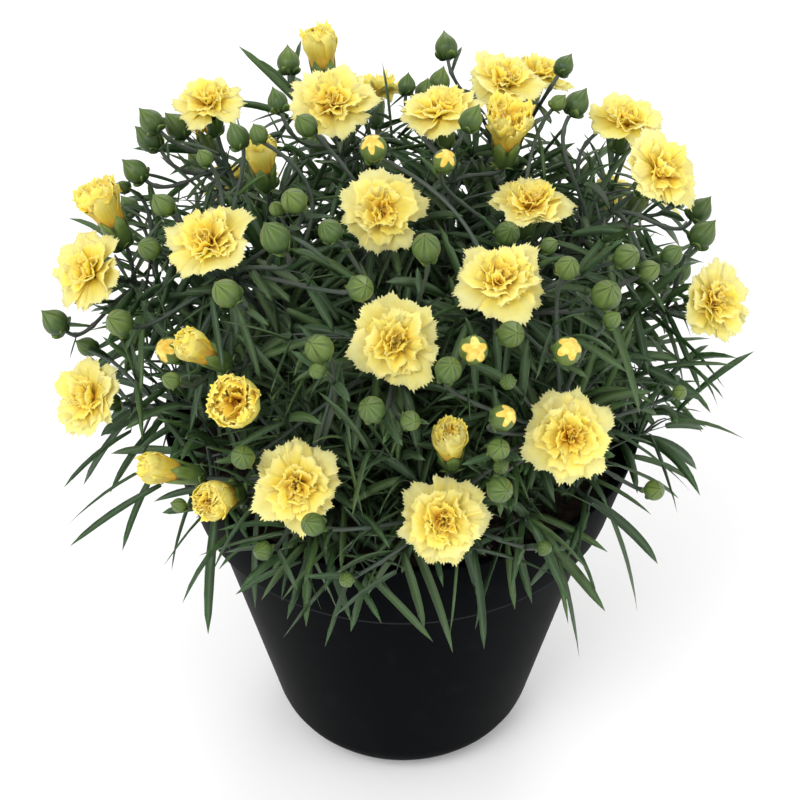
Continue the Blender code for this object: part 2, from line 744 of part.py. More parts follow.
def ring(count, radii, heights):
    """Points round the axis, with radii and heights taken in turn."""
    points = []
    for i in range(count):
        angle = 2 * math.pi * i / count
        radius = radii[i % len(radii)]
        points.append((radius * math.cos(angle), radius * math.sin(angle), heights[i % len(heights)]))
    return points


def upright(bm, base, axis, spin=0.0):
    """Stands a skin on its base point, along this axis."""
    turn = Vector(axis).to_track_quat("Z", "Y").to_matrix().to_4x4() @ Matrix.Rotation(spin, 4, "Z")
    bmesh.ops.transform(bm, matrix=Matrix.Translation(Vector(base)) @ turn, verts=bm.verts)
    return mesh_from(bm, "upright")


def petal_ring(count, radius, height, wave, shift, rng):
    """The toothed and waved edge of one layer of petals: three points to a petal, the first in a notch."""
    radii = [radius * (0.85, 1.0, 0.96)[(i + shift) % 3] * rng.uniform(0.95, 1.05) for i in range(count)]
    heights = [height + wave * rng.uniform(0.4, 1.2) * (1, -1)[(i + shift) % 2] for i in range(count)]
    return ring(count, radii, heights)


def make_bloom(name, head, collection, material):
    """Three layers of petals as one skin: it runs out and back along each layer, from the stalk to the heart."""
    rng = random.Random(name)
    radius = head["radius"]
    count = PETAL_POINTS
    rings = [
        [(0, 0, 0)],
        ring(count, (2.6 * MM,), (0,)),
        ring(count, (3.8 * MM,), (3.2 * MM,)),
        petal_ring(count, radius, 5.2 * MM, 1.7 * MM, 0, rng),
        ring(count, (0.42 * radius,), (7.2 * MM,)),
        petal_ring(count, radius * 0.76, 11.4 * MM, 1.5 * MM, 1, rng),
        ring(count, (0.26 * radius,), (10.2 * MM,)),
        petal_ring(count, radius * 0.46, 14.8 * MM, 1.3 * MM, 2, rng),
        [(0, 0, 11 * MM)],
    ]
    base = head["base"] + head["axis"] * (CALYX_LENGTH + SEAT_GAP)
    return add_object(name, upright(loft(rings), base, head["axis"], rng.uniform(0, 3)), collection, material)


def make_opening(name, head, collection, material):
    """An opening bud's petals: a furled tuft with a notched mouth."""
    rng = random.Random(name)
    radius = head["radius"]
    mouth = [radius * rng.uniform(0.85, 1.15) for _ in range(TUFT_POINTS)]
    tips = [radius * (1.75, 2.35)[i % 2] * rng.uniform(0.95, 1.05) for i in range(TUFT_POINTS)]
    rings = [
        [(0, 0, 0)],
        ring(TUFT_POINTS, (2.6 * MM,), (0,)),
        ring(TUFT_POINTS, (0.72 * radius,), (1.0 * radius,)),
        ring(TUFT_POINTS, mouth, tips),
        [(0, 0, 1.5 * radius)],
    ]
    base = head["base"] + head["axis"] * (CALYX_LENGTH + SEAT_GAP)
    return add_object(name, upright(loft(rings), base, head["axis"], rng.uniform(0, 3)), collection, material)


def stem_skin(bm, stem, bloom):
    """The stem from its foot in the soil to its bloom's calyx. Gives each used node's faces to grow from."""
    controls = stem["controls"]
    length = np.linalg.norm(np.diff(stem["line"], axis=0), axis=1).sum()
    used = sorted({g["node"] for kind in ("leaves", "buds", "openings", "shoots") for g in stem[kind]})
    foot = controls[0] - (0, 0, HOLE_DEPTH - SEAT_GAP)
    rings = [circle(foot, np.array((0.0, 0.0, 1.0)), level_of(controls), (STEM_RADIUS,), 5)]
    rings += stalk_rings(controls, (0,), STEM_RADIUS, 5)
    for low, high in node_places(STEM_NODES, used, length):
        rings += stalk_rings(controls, (low, high), STEM_RADIUS * NODE_SWELL, 5)
    rings += stalk_rings(controls, (1,), STEM_RADIUS, 5)
    rings += head_rings(controls, bloom["axis"], calyx_shape(5))
    bands = skinned(bm, [bm.verts.new(foot)], rings)
    return {node: hosts_of(bands[3 + 2 * place]) for place, node in enumerate(used)}


def shoot_skin(bm, root, shoot):
    """A side shoot drawn out of a stem's node. Gives its own nodes' faces."""
    controls = shoot["controls"]
    length = np.linalg.norm(np.diff(shoot["line"], axis=0), axis=1).sum()
    rings = stalk_rings(controls, (0.2,), BRANCH_RADIUS, 3)
    for low, high in node_places(SHOOT_NODES, range(len(SHOOT_NODES)), length):
        rings += stalk_rings(controls, (low, high), BRANCH_RADIUS * NODE_SWELL, 3)
    rings.append([controls[-1] + unit(controls[-1] - controls[-2]) * NODE_LENGTH])
    bands = drawn_out(bm, root, rings)
    return {node: hosts_of(bands[2 + 2 * node]) for node in range(len(SHOOT_NODES))}


def make_spray(number, stem, bloom, collection, material):
    """One leafy stem as one skin: the stem and its calyx, then all that is drawn out of its nodes."""
    bm = bmesh.new()
    hosts = stem_skin(bm, stem, bloom)
    for shoot in stem["shoots"]:
        root = take_root(hosts[shoot["node"]], shoot["controls"][1] - shoot["controls"][0], 1)
        joints = shoot_skin(bm, root, shoot)
        for leaf in shoot["leaves"]:
            drawn_out(bm, take_root(joints[leaf["node"]], leaf["toward"], 0), leaf_rings(leaf))
    for leaf in stem["leaves"]:
        drawn_out(bm, take_root(hosts[leaf["node"]], leaf["toward"], 0), leaf_rings(leaf))
    for head in stem["buds"] + stem["openings"]:
        root = take_root(hosts[head["node"]], head["controls"][1] - head["controls"][0], 1)
        shape = calyx_shape(6) if "kind" in head else bud_shape(head["radius"])
        rings = stalk_rings(head["controls"], (0.5, 1), BRANCH_RADIUS, 3)
        drawn_out(bm, root, rings + head_rings(head["controls"], head["axis"], shape))
    return add_object(f"spray_{number:02d}", mesh_from(bm, "spray"), collection, material)


def main():
    for obj in list(bpy.data.objects):
        bpy.data.objects.remove(obj)
    plant = bpy.data.collections.new("dianthus_plant")
    helpers = bpy.data.collections.new("cutters")
    bpy.context.scene.collection.children.link(plant)
    bpy.context.scene.collection.children.link(helpers)

    plastic = finish_material("black pot plastic", (0.012, 0.013, 0.014), 0.5)
    peat = finish_material("peat soil", (0.035, 0.022, 0.014), 0.95)
    green = finish_material("leaf green", (0.045, 0.11, 0.05), 0.5)
    yellow = finish_material("petal yellow", (0.93, 0.80, 0.28), 0.6)

    stems, blooms = grow_plant()
    make_pot(plant, helpers).data.materials.append(plastic)
    make_soil(plant, helpers, stems).data.materials.append(peat)
    opened = 0
    for number, (stem, bloom) in enumerate(zip(stems, blooms), start=1):
        make_spray(number, stem, bloom, plant, green)
        make_bloom(f"bloom_{number:02d}", bloom, plant, yellow)
        for head in stem["openings"]:
            opened += 1
            make_opening(f"opening_{opened:02d}", head, plant, yellow)
    leaves = sum(len(part["leaves"]) for s in stems for part in (s, *s["shoots"]))
    buds = sum(len(s["buds"]) for s in stems)
    print(f"{len(stems)} sprays, {opened} opening buds, {buds} closed buds and {leaves} leaves")


main()
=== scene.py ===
# %% [markdown]
# # A potted dianthus
#
# The object is a dwarf carnation in a black nursery pot: a dome of narrow bluish leaves with ruffled
# yellow blooms, half open heads and round green buds. The plain solids of the pot, the soil, each leafy
# spray and each bloom come in first. They fix where everything stands, and each is then replaced by a
# finer piece of the same form.

import json
import math
import random

import bmesh
import bpy
import numpy as np
from mathutils import Matrix, Vector

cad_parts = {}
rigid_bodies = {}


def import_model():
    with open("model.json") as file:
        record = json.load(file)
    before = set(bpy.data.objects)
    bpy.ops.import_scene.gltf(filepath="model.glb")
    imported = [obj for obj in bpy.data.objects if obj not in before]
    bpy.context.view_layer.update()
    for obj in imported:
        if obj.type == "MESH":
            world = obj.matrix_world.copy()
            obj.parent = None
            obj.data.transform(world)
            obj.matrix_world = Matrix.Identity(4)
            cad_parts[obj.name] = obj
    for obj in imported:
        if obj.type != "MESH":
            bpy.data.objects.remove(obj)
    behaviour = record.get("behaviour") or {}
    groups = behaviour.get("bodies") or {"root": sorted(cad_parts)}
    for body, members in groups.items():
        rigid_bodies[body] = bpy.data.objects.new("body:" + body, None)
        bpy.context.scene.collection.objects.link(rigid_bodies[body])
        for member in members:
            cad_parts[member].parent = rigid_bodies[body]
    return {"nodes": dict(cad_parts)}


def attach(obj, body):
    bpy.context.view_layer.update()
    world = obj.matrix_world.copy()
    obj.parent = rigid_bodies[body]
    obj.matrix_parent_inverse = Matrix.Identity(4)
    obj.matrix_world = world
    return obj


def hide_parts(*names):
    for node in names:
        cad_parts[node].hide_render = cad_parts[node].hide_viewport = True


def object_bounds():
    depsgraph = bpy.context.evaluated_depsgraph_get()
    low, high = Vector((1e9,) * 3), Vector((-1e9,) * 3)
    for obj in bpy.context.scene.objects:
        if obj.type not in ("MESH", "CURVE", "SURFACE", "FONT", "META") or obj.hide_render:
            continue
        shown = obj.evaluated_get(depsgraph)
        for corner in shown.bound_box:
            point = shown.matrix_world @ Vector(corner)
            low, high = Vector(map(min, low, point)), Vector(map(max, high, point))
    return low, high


for left_over in list(bpy.data.objects):
    bpy.data.objects.remove(left_over)
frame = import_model()
CAD_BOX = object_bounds()
MM = 0.001
print(len(frame["nodes"]), "plain solids in", [tuple(round(v, 3) for v in corner) for corner in CAD_BOX])

# %% [markdown]
# ## The viewpoint
#
# The plant is seen from in front and well above, through a long lens, so that the pot's sides converge
# only a little. A camera is placed by its eye point and the angle that it dips by. The same eye also says
# where each bloom grows, because a bloom is listed by the column and row that it is seen at and by its
# depth.

# %% The camera
EYE = np.array((0.0, -0.820, 0.902))
EYE_DIP = math.radians(39.7)
EYE_FOCAL = 2000.0  # in picture columns
EYE_MIDDLE = (403, 400)  # column and row that the eye looks straight at
PICTURE = 800
FILM = 36.0

view = bpy.data.cameras.new("Camera")
view.sensor_width = FILM
view.lens = FILM * EYE_FOCAL / PICTURE
view.shift_x = (PICTURE / 2 - EYE_MIDDLE[0]) / PICTURE
camera = bpy.data.objects.new("Camera", view)
camera.location = EYE
camera.rotation_euler = (math.pi / 2 - EYE_DIP, 0, 0)
bpy.context.scene.collection.objects.link(camera)
bpy.context.scene.camera = camera
print("lens", round(view.lens, 1), "mm")

# %% [markdown]
# ## How the plant grew
#
# A hand can't place nearly three thousand leaves, so the plant grows by a rule with a fixed seed: heads
# first, then a stem to each bloom, then branches to the buds, then crosswise pairs of leaves. Each thing
# takes its room as a row of balls, and what comes later must be clear of them, so nothing grows through
# anything else. The same rule and the same seed made the plain solids, and that is why the fine pieces fit
# them.

# %% The sizes of the pot and the plan of the heads
FOOT_RADIUS = 70 * MM  # where the wall's line would meet the ground
FOOT_ROUNDING = 28 * MM
BODY_TOP_RADIUS = 109 * MM
BAND_LOW_Z = 169 * MM  # lower edge of the collar band, which stands proud of the body
BAND_LOW_RADIUS = 115 * MM
RIM_Z = 219 * MM
RIM_RADIUS = 127 * MM
RIM_ROUNDING = 2 * MM
WALL = 2.4 * MM
DRAIN_RADIUS = 5 * MM
DRAIN_RING = 30 * MM
DRAIN_COUNT = 5
SOIL_Z = 196 * MM
SOIL_GAP = 0.6 * MM
HOLE_DEPTH = 14 * MM
SEAT_GAP = 0.3 * MM

# The crown, a squarish dome that heads and buds sit on
CROWN_Z = 205 * MM
CROWN_REACH = 165 * MM
CROWN_RISE = 190 * MM
CROWN_POWER = 3.0

# Open blooms: column, row, depth in mm behind the pot's middle, heading, lean and radius in mm.
# Heading 0 faces the viewer and 90 the viewer's right. Lean is the angle from upright.
FRONT_BLOOMS = (
    (210, 103, 60, -60, 8, 20),
    (333, 105, 60, -10, 25, 23),
    (441, 112, 35, -110, 12, 23),
    (505, 82, 80, 30, 15, 21),
    (627, 122, 55, 60, 10, 21),
    (660, 173, 0, 50, 38, 23),
    (90, 272, -10, -40, 50, 22),
    (210, 243, -40, -30, 27, 23),
    (383, 212, -20, 0, 42, 22),
    (530, 205, -5, 60, 6, 21),
    (500, 281, -70, 0, 22, 23),
    (714, 302, -20, 42, 55, 22),
    (396, 343, -95, 0, 48, 23),
    (90, 398, -55, -48, 52, 22),
    (570, 436, -115, 8, 50, 23),
    (298, 485, -128, -5, 50, 22.5),
    (443, 520, -135, 0, 54, 23),
)
# Open blooms behind the crown: heading from the pot's middle, height above ground, lean and radius, in mm
BACK_BLOOMS = (
    (122, 300, 50, 22),
    (148, 352, 22, 22),
    (160, 262, 62, 21),
    (186, 318, 42, 23),
    (214, 270, 60, 22),
    (228, 330, 38, 22),
)
# Opening buds: column, row, depth in mm, heading, lean and radius in mm
FRONT_OPENINGS = (
    (262, 160, 20, -30, 10, 8.5),
    (507, 135, 30, 20, 8, 9.5),
    (108, 214, 15, -110, 25, 9.5),
    (200, 350, -85, -70, 45, 8),
    (240, 403, -105, -8, 48, 11),
    (450, 445, -118, -10, 18, 8.5),
    (166, 470, -95, -80, 68, 8),
    (221, 498, -118, -25, 58, 9.5),
)
BACK_OPENINGS = (
    (136, 268, 45, 9),
    (200, 360, 20, 9),
)
# How far each opening bud's petals have loosened, in degrees, in the same order as the two lists above
LOOSENESS = (4, 24, 22, 0, 15, 4, 0, 6, 10, 10)
# Closed buds: column, row and radius in mm
FRONT_BUDS = (
    (150, 120, 6), (148, 138, 6.5), (134, 170, 6), (162, 204, 5.5), (148, 248, 5.5), (237, 135, 5.5),
    (258, 133, 4.5), (277, 100, 5), (305, 124, 5.5), (293, 200, 6), (274, 236, 7), (329, 230, 5.5),
    (225, 292, 6.5), (54, 321, 6.5), (118, 322, 6.5), (86, 346, 5), (168, 350, 6.5), (318, 348, 6.5),
    (361, 288, 6), (373, 147, 6.5), (407, 84, 4.5), (425, 90, 5), (440, 80, 5.5), (445, 160, 5.5),
    (472, 118, 5.5), (426, 246, 6.5), (512, 334, 6), (474, 350, 6.5), (449, 369, 6), (508, 233, 6),
    (568, 350, 6.5), (578, 102, 6), (568, 267, 5.5), (607, 294, 7), (628, 256, 6), (650, 270, 5),
    (701, 209, 6), (704, 233, 6.5), (673, 254, 5), (371, 409, 6), (411, 421, 4.5), (504, 417, 6),
    (499, 449, 5), (501, 490, 6), (243, 457, 5.5), (312, 524, 5.5), (262, 551, 4.5), (655, 490, 5),
)
# Closed buds behind the crown: heading, height above ground in mm and radius in mm
BACK_BUDS = (
    (108, 322, 6), (112, 262, 5.5), (132, 335, 6), (136, 372, 5), (146, 286, 6.5), (158, 330, 5),
    (168, 375, 6), (172, 290, 6), (180, 250, 5), (198, 285, 6.5), (204, 335, 5), (212, 372, 6),
    (226, 300, 5.5), (236, 268, 6), (240, 350, 6.5), (248, 306, 5),
)
# Very small buds, only in this scene: column, row and radius in mm
SMALL_BUDS = (
    (168, 105, 3.5), (122, 187, 3.5), (204, 157, 4), (276, 208, 3.5), (170, 380, 4), (316, 371, 3.5),
    (550, 245, 4), (559, 102, 4), (613, 319, 4), (501, 467, 3.5), (545, 548, 3.5), (508, 382, 3.5),
    (680, 392, 3.5), (346, 580, 3.5), (178, 505, 3.5),
)
# Buds whose sepals have just parted, by column and row
PARTED_BUDS = ((168, 350), (373, 147), (445, 160), (474, 350), (568, 350), (504, 417))
# How far in a bud may be moved to be clear, in mm
BUD_PUSHES = (0, 4, -4, 8, -8, 12, 16, 20, 26, 32, 40, 50)

# %% The sizes of stems, leaves and heads
STEM_RADIUS = 1.6 * MM
BRANCH_RADIUS = 1.05 * MM
ROOT_SPREAD = 0.36  # how far out a stem is rooted, beside how far out its bloom is
ROOT_SPACING = 9 * MM
LEAF_LENGTHS = (66 * MM, 30 * MM)  # at the foot of a stem and at its top
LEAF_WIDTH = 5.4 * MM
SKIRT_SHOOTS = 16  # short side shoots that lean out over the rim
SKIRT_LEAF = 60 * MM
BRANCH_TRIES = 60
LINE_STEPS = 40  # steps in the row of points that stands for a stem or a shoot
STEM_NODES = (0.10, 0.26, 0.42, 0.58, 0.74, 0.88)  # the joints that leaves and branches grow from
SHOOT_NODES = (0.50, 0.74, 0.95)
SEED = 11
CALYX_LENGTH = 15 * MM
CALYX_RADIUS = 5.2 * MM
BUD_STRETCH = 1.35  # half length beside radius
CLEARANCE = 0.8 * MM
LARGEST_BALL = 12.5 * MM
PETALS = 1000  # added to a head's number, for its petals in the room

# %% Directions, curves and the crown
STEM_SKEW = (0.31, 0.17, 0.93)  # a direction that no stem follows


def unit(vector):
    return vector / np.linalg.norm(vector)


def square_to(axis, skew):
    """Two directions square to this axis and to each other. skew is any direction well off the axis."""
    side = unit(np.cross(axis, skew))
    return side, np.cross(axis, side)


def spoke(side, other, turn):
    """The direction at this turn between two square directions."""
    return side * math.cos(turn) + other * math.sin(turn)


def spokes(side, other, turns):
    """One such direction for each of several turns."""
    return side * np.cos(turns)[:, None] + other * np.sin(turns)[:, None]


def facing(heading, lean):
    """The unit vector with this heading, clockwise from the viewer, and this lean from upright."""
    turn, tip = math.radians(heading), math.radians(lean)
    return np.array((math.sin(turn) * math.sin(tip), -math.cos(turn) * math.sin(tip), math.cos(tip)))


def heading_of(point):
    return math.degrees(math.atan2(point[0], -point[1]))


def sight_line(column, row):
    """Direction from the eye through this column and row."""
    across = (column - EYE_MIDDLE[0]) / EYE_FOCAL
    rise = (EYE_MIDDLE[1] - row) / EYE_FOCAL
    forward = math.cos(EYE_DIP) + rise * math.sin(EYE_DIP)
    upward = rise * math.cos(EYE_DIP) - math.sin(EYE_DIP)
    return np.array((across, forward, upward))


def seen_at(column, row, depth):
    """The point seen at this column and row that lies this far behind the pot's middle."""
    line = sight_line(column, row)
    return EYE + line * ((depth - EYE[1]) / line[1])


def crown_level(points):
    """Under 1 inside the crown's dome, 1 on it and over 1 outside."""
    out = np.hypot(points[..., 0], points[..., 1]) / CROWN_REACH
    up = np.maximum(points[..., 2] - CROWN_Z, 0) / CROWN_RISE
    return out**CROWN_POWER + up**CROWN_POWER


def on_crown(column, row):
    """Where the sight line first meets the dome, or comes nearest to it."""
    line = sight_line(column, row)
    depths = np.linspace(-0.20, 0.16, 181)
    points = EYE + line * ((depths - EYE[1]) / line[1])[:, None]
    level = crown_level(points)
    inside = np.flatnonzero(level < 1)
    return points[inside[0] if len(inside) else level.argmin()]


def crown_radius(height, least=0):
    """How far out the dome is at this height, or this least share of its reach."""
    up = max(height - CROWN_Z, 0) / CROWN_RISE
    return CROWN_REACH * max(1 - up**CROWN_POWER, least) ** (1 / CROWN_POWER)


def round_the_pot(out, turn, height):
    """The point this far out from the pot's axis, at this turn clockwise from the viewer."""
    return np.array((out * math.sin(turn), -out * math.cos(turn), height))


def behind_crown(heading, height):
    """The dome's point at this heading and height."""
    return round_the_pot(crown_radius(height), math.radians(heading), height)


def bezier(controls, steps):
    """Points of the curve with these control points, at each step from 0 to 1."""
    share = np.asarray(steps, float)[:, None]
    rows = [np.repeat(np.asarray(c, float)[None], len(share), 0) for c in controls]
    while len(rows) > 1:
        rows = [a + (b - a) * share for a, b in zip(rows, rows[1:])]
    return rows[0]


def points_along(controls):
    """The row of points that stands for a stem or a shoot."""
    return bezier(controls, np.linspace(0, 1, LINE_STEPS + 1))


def node_at(line, share):
    """A stem's point at a share of its length, its direction there and two directions square to that."""
    step = min(round(share * LINE_STEPS), LINE_STEPS - 1)
    along = unit(line[step + 1] - line[step - 1])
    return line[step], along, *square_to(along, STEM_SKEW)


def pot_radius(height):
    """The pot's outer radius at this height, above its foot rounding."""
    body = FOOT_RADIUS + (BODY_TOP_RADIUS - FOOT_RADIUS) * height / BAND_LOW_Z
    band = BAND_LOW_RADIUS + (RIM_RADIUS - BAND_LOW_RADIUS) * (height - BAND_LOW_Z) / (RIM_Z - BAND_LOW_Z)
    return np.where(height > BAND_LOW_Z - 3 * MM, band, body)

# %% Keeping things clear of each other
HEAD_SKEW = (0.3, 0.2, 0.9)  # a direction that no head or stem points in


class Room:
    """What is taken so far, as balls along each stem, leaf and head, each with its owner."""

    def __init__(self):
        self.centres = np.empty((0, 3))
        self.radii = np.empty(0)
        self.owners = np.empty(0, int)

    def take(self, points, radius, owner):
        self.centres = np.vstack([self.centres, points])
        self.radii = np.append(self.radii, np.broadcast_to(radius, len(points)))
        self.owners = np.append(self.owners, np.full(len(points), owner))

    def free(self, points, radius, owners=(), gap=CLEARANCE):
        """True if balls here would be clear of the pot, the soil and all that is not these owners'."""
        radius = np.broadcast_to(radius, len(points)) + gap
        out, up = np.hypot(points[:, 0], points[:, 1]), points[:, 2]
        above = up > RIM_Z + radius
        outside = out > pot_radius(up) + radius
        inside = (out < pot_radius(up) - 3 * WALL - radius) & (up > SOIL_Z + radius)
        if not (above | outside | inside).all():
            return False
        reach = LARGEST_BALL + radius.max()
        low, high = points.min(axis=0) - reach, points.max(axis=0) + reach
        near = ((self.centres > low) & (self.centres < high)).all(axis=1)
        near &= ~np.isin(self.owners, owners)
        if not near.any():
            return True
        apart = np.linalg.norm(points[:, None] - self.centres[None, near], axis=2)
        return bool((apart - self.radii[None, near] - radius[:, None]).min() > 0)


def dish_balls(head):
    """Balls that fill a bloom's petals, as a middle one and two rings."""
    axis, radius = head["axis"], head["radius"]
    side, other = square_to(axis, HEAD_SKEW)
    centre = head["base"] + axis * (CALYX_LENGTH + 6.5 * MM)
    rings = [centre[None]]
    for share, count in ((0.4, 7), (0.8, 13)):
        turns = np.arange(count) * 2 * math.pi / count
        rings.append(centre + radius * share * spokes(side, other, turns))
    return np.vstack(rings)

# %% Heads and stems
def place_heads(room):
    """Blooms and opening buds as dicts. Each calyx and each head's petals take their room."""
    heads = []
    plans = (("bloom", FRONT_BLOOMS, BACK_BLOOMS), ("opening", FRONT_OPENINGS, BACK_OPENINGS))
    for kind, front, back in plans:
        listed = [(seen_at(c, r, d * MM), facing(h, lean), size * MM) for c, r, d, h, lean, size in front]
        for heading, height, lean, size in back:
            listed.append((behind_crown(heading, height * MM), facing(heading, lean), size * MM))
        for middle, axis, radius in listed:
            base = middle - axis * (CALYX_LENGTH + 5 * MM)
            heads.append({"kind": kind, "base": base, "axis": axis, "radius": radius})
    for number, head in enumerate(heads):
        calyx_line = head["base"] + head["axis"] * np.linspace(0.1, 1, 5)[:, None] * CALYX_LENGTH
        room.take(calyx_line, CALYX_RADIUS, number)
        if head["kind"] == "bloom":
            room.take(dish_balls(head), 6.2 * MM, PETALS + number)
        else:
            heights = CALYX_LENGTH + np.linspace(0.8, 2.2, 3)[:, None] * head["radius"]
            room.take(head["base"] + head["axis"] * heights, head["radius"] * 1.1, PETALS + number)
    return heads


def place_roots(blooms):
    """Where each bloom's stem leaves the soil: under it but nearer the middle, and apart from the others."""
    roots = np.array([b["base"][:2] * ROOT_SPREAD for b in blooms])
    for _ in range(60):
        for i in range(len(roots)):
            away = roots[i] - np.delete(roots, i, 0)
            apart = np.linalg.norm(away, axis=1)
            near = apart < ROOT_SPACING
            roots[i] += ((away[near].T / apart[near]) * (ROOT_SPACING - apart[near]) * 0.5).sum(axis=1)
    return roots


def grow_stems(room, blooms):
    """One stem for each bloom, upright in the soil and in line with the bloom at its top."""
    stems = []
    for owner, (bloom, root) in enumerate(zip(blooms, place_roots(blooms))):
        foot = np.array((*root, SOIL_Z))
        axis = bloom["axis"]
        top = bloom["base"]
        span = np.linalg.norm(top - foot)
        best = None
        for bulge in (0.0, 0.25, -0.25, 0.5, -0.5, 0.8, -0.8):
            side = unit(np.array((-foot[1], foot[0], 0.0))) * bulge * span * 0.3
            controls = (foot, foot + (0, 0, 0.4 * span), top - axis * 0.35 * span + side, top)
            line = bezier(controls, np.linspace(0, 1, 48))
            if best is None:
                best = controls
            if room.free(line[4:-3], STEM_RADIUS, [owner]):
                best = controls
                break
        room.take(bezier(best, np.linspace(0, 1, 60)), STEM_RADIUS, owner)
        stem = {"controls": best, "line": points_along(best)}
        stems.append(stem | {"shoots": [], "buds": [], "leaves": [], "openings": []})
    return stems

# %% Branches to half open heads and buds
def join_branch(room, stems, base, axis, reach, skip=()):
    """The shortest clear branch from a stem's node to this head, as (stem, control points), or None."""
    choices = []
    for owner, stem in enumerate(stems):
        steps = np.array([round(share * LINE_STEPS) for share in STEM_NODES[1:]])
        starts, along = stem["line"][steps], stem["line"][steps + 1] - stem["line"][steps - 1]
        along /= np.linalg.norm(along, axis=1)[:, None]
        span = np.linalg.norm(base - starts, axis=1)
        rises = ((base - starts) * along).sum(axis=1) / span
        for i in np.flatnonzero((span > 12 * MM) & (span < reach) & (rises > 0.3)):
            choices.append((span[i] * (2 - rises[i]), owner, starts[i], along[i]))
    for _, owner, start, along in sorted(choices, key=lambda c: c[0])[:BRANCH_TRIES]:
        span = np.linalg.norm(base - start)
        for push in (0.35, 0.55, 0.2):
            parting = unit(along + (base - start) / span)
            controls = (start, start + parting * push * span, base - axis * 0.35 * span, base)
            line = bezier(controls, np.linspace(0, 1, 24))
            away = np.linalg.norm(line - start, axis=1)
            clear = room.free(line[2:], BRANCH_RADIUS, [owner, *skip])
            clear = clear and room.free(line[away > 5 * MM], 0.7 * BRANCH_RADIUS, skip, 0.2 * MM)
            if clear and room.free(line[9:], BRANCH_RADIUS, skip, 0.4 * MM):
                return owner, controls
    return None


def grow_openings(room, stems, heads, first):
    """Joins each opening bud to a stem. first is the number of the first opening bud among the heads."""
    for number, head in enumerate(heads):
        found = join_branch(room, stems, head["base"], head["axis"], 140 * MM, [first + number])
        if found is None:
            continue
        owner, controls = found
        room.take(bezier(controls, np.linspace(0, 1, 30)), BRANCH_RADIUS, owner)
        room.owners[room.owners == first + number] = owner
        stems[owner]["openings"].append({**head, "controls": controls})


def grow_buds(room, stems, rng, front, back):
    """Closed buds on the dome, pushed back along the sight line until they are clear."""
    wanted = []
    for column, row, size in front:
        inward = unit(sight_line(column, row))
        wanted.append((on_crown(column, row), size * MM, inward, (column, row) in PARTED_BUDS))
    for heading, height, size in back:
        spot = behind_crown(heading, height * MM)
        wanted.append((spot, size * MM, -unit(np.array((spot[0], spot[1], 0.04))), False))
    for spot, radius, inward, parted in wanted:
        lean = 12 + 34 * min(np.hypot(spot[0], spot[1]) / CROWN_REACH, 1) + rng.uniform(-8, 14)
        axis = facing(heading_of(spot) + rng.uniform(-35, 35), lean)
        for push in BUD_PUSHES:
            middle = spot + inward * push * MM
            body = middle + axis * np.array((-0.55, 0.0, 0.55))[:, None] * radius
            base = middle - axis * radius * BUD_STRETCH
            if not room.free(body, radius):
                continue
            found = join_branch(room, stems, base, axis, 110 * MM)
            if found is None:
                continue
            owner, controls = found
            room.take(bezier(controls, np.linspace(0, 1, 24)), BRANCH_RADIUS, owner)
            room.take(body, radius, owner)
            bud = {"controls": controls, "axis": axis, "radius": radius, "parted": parted}
            stems[owner]["buds"].append(bud)
            break


# %% Leaf pairs and the skirt of shoots over the rim
def leaf_controls(start, along, outward, length, droop, spread):
    """A leaf's arc: it leaves the stem at an angle and bends over by its droop."""
    first = unit(along * math.cos(spread) + outward * math.sin(spread))
    last = unit(first + np.array((0, 0, -droop)) + outward * 0.25)
    return (start, start + first * length * 0.5, start + first * length * 0.5 + last * length * 0.5)


# How a leaf is tried: tries, ways round the stem, the angle between them and its scatter, the shrinking at
# each try, and the ranges of its length, its droop and its angle to the stem
MAIN_LEAF = (14, 7, 0.28, 0.15, 0.92, (0.85, 1.12), (0.6, 1.5), (0.6, 1.0))
FINE_LEAF = (7, 5, 0.4, 0.2, 0.9, (0.8, 1.15), (0.4, 1.6), (0.5, 1.0))
MAIN_LEAF_ROOM = 2.2 * MM  # radius of the balls along a leaf
FINE_LEAF_ROOM = 1.0 * MM


def leaf_tries(rng, line, share, turn, length, droop, manner):
    """Ways to lay a leaf at a node, each turned and shorter: control points, level and size."""
    tries, ways, swing, scatter, shrinking, sizes, bends, spreads = manner
    start, along, side, other = node_at(line, share)
    for attempt in range(tries):
        angle = turn + (attempt % ways - ways // 2) * swing + rng.uniform(-scatter, scatter)
        outward = spoke(side, other, angle)
        size = length * rng.uniform(*sizes) * (shrinking**attempt)
        bend = droop * rng.uniform(*bends)
        controls = leaf_controls(start, along, outward, size, bend, rng.uniform(*spreads))
        yield controls, unit(np.cross(outward, along)), size


def grow_leaf(room, owner, rng, line, share, turn, length, droop):
    """One leaf at a node, turned about the stem until it is clear. None if it never is."""
    for controls, level, _ in leaf_tries(rng, line, share, turn, length, droop, MAIN_LEAF):
        arc = bezier(controls, np.linspace(0.0, 1, 15))
        near = arc[np.linalg.norm(arc - controls[0], axis=1) > 5 * MM]
        if room.free(arc[3:], MAIN_LEAF_ROOM) and room.free(near, 1 * MM, (), 0.2 * MM):
            room.take(arc, MAIN_LEAF_ROOM, owner)
            return {"controls": controls, "level": level, "broad": LEAF_WIDTH * rng.uniform(0.8, 1.12)}
    return None


def grow_pair(grow, room, owner, rng, line, share, turn, length, droop):
    """Two leaves opposite each other at a node, or what there is room for."""
    pair = [grow(room, owner, rng, line, share, turn + half, length, droop) for half in (0, math.pi)]
    return [leaf for leaf in pair if leaf]


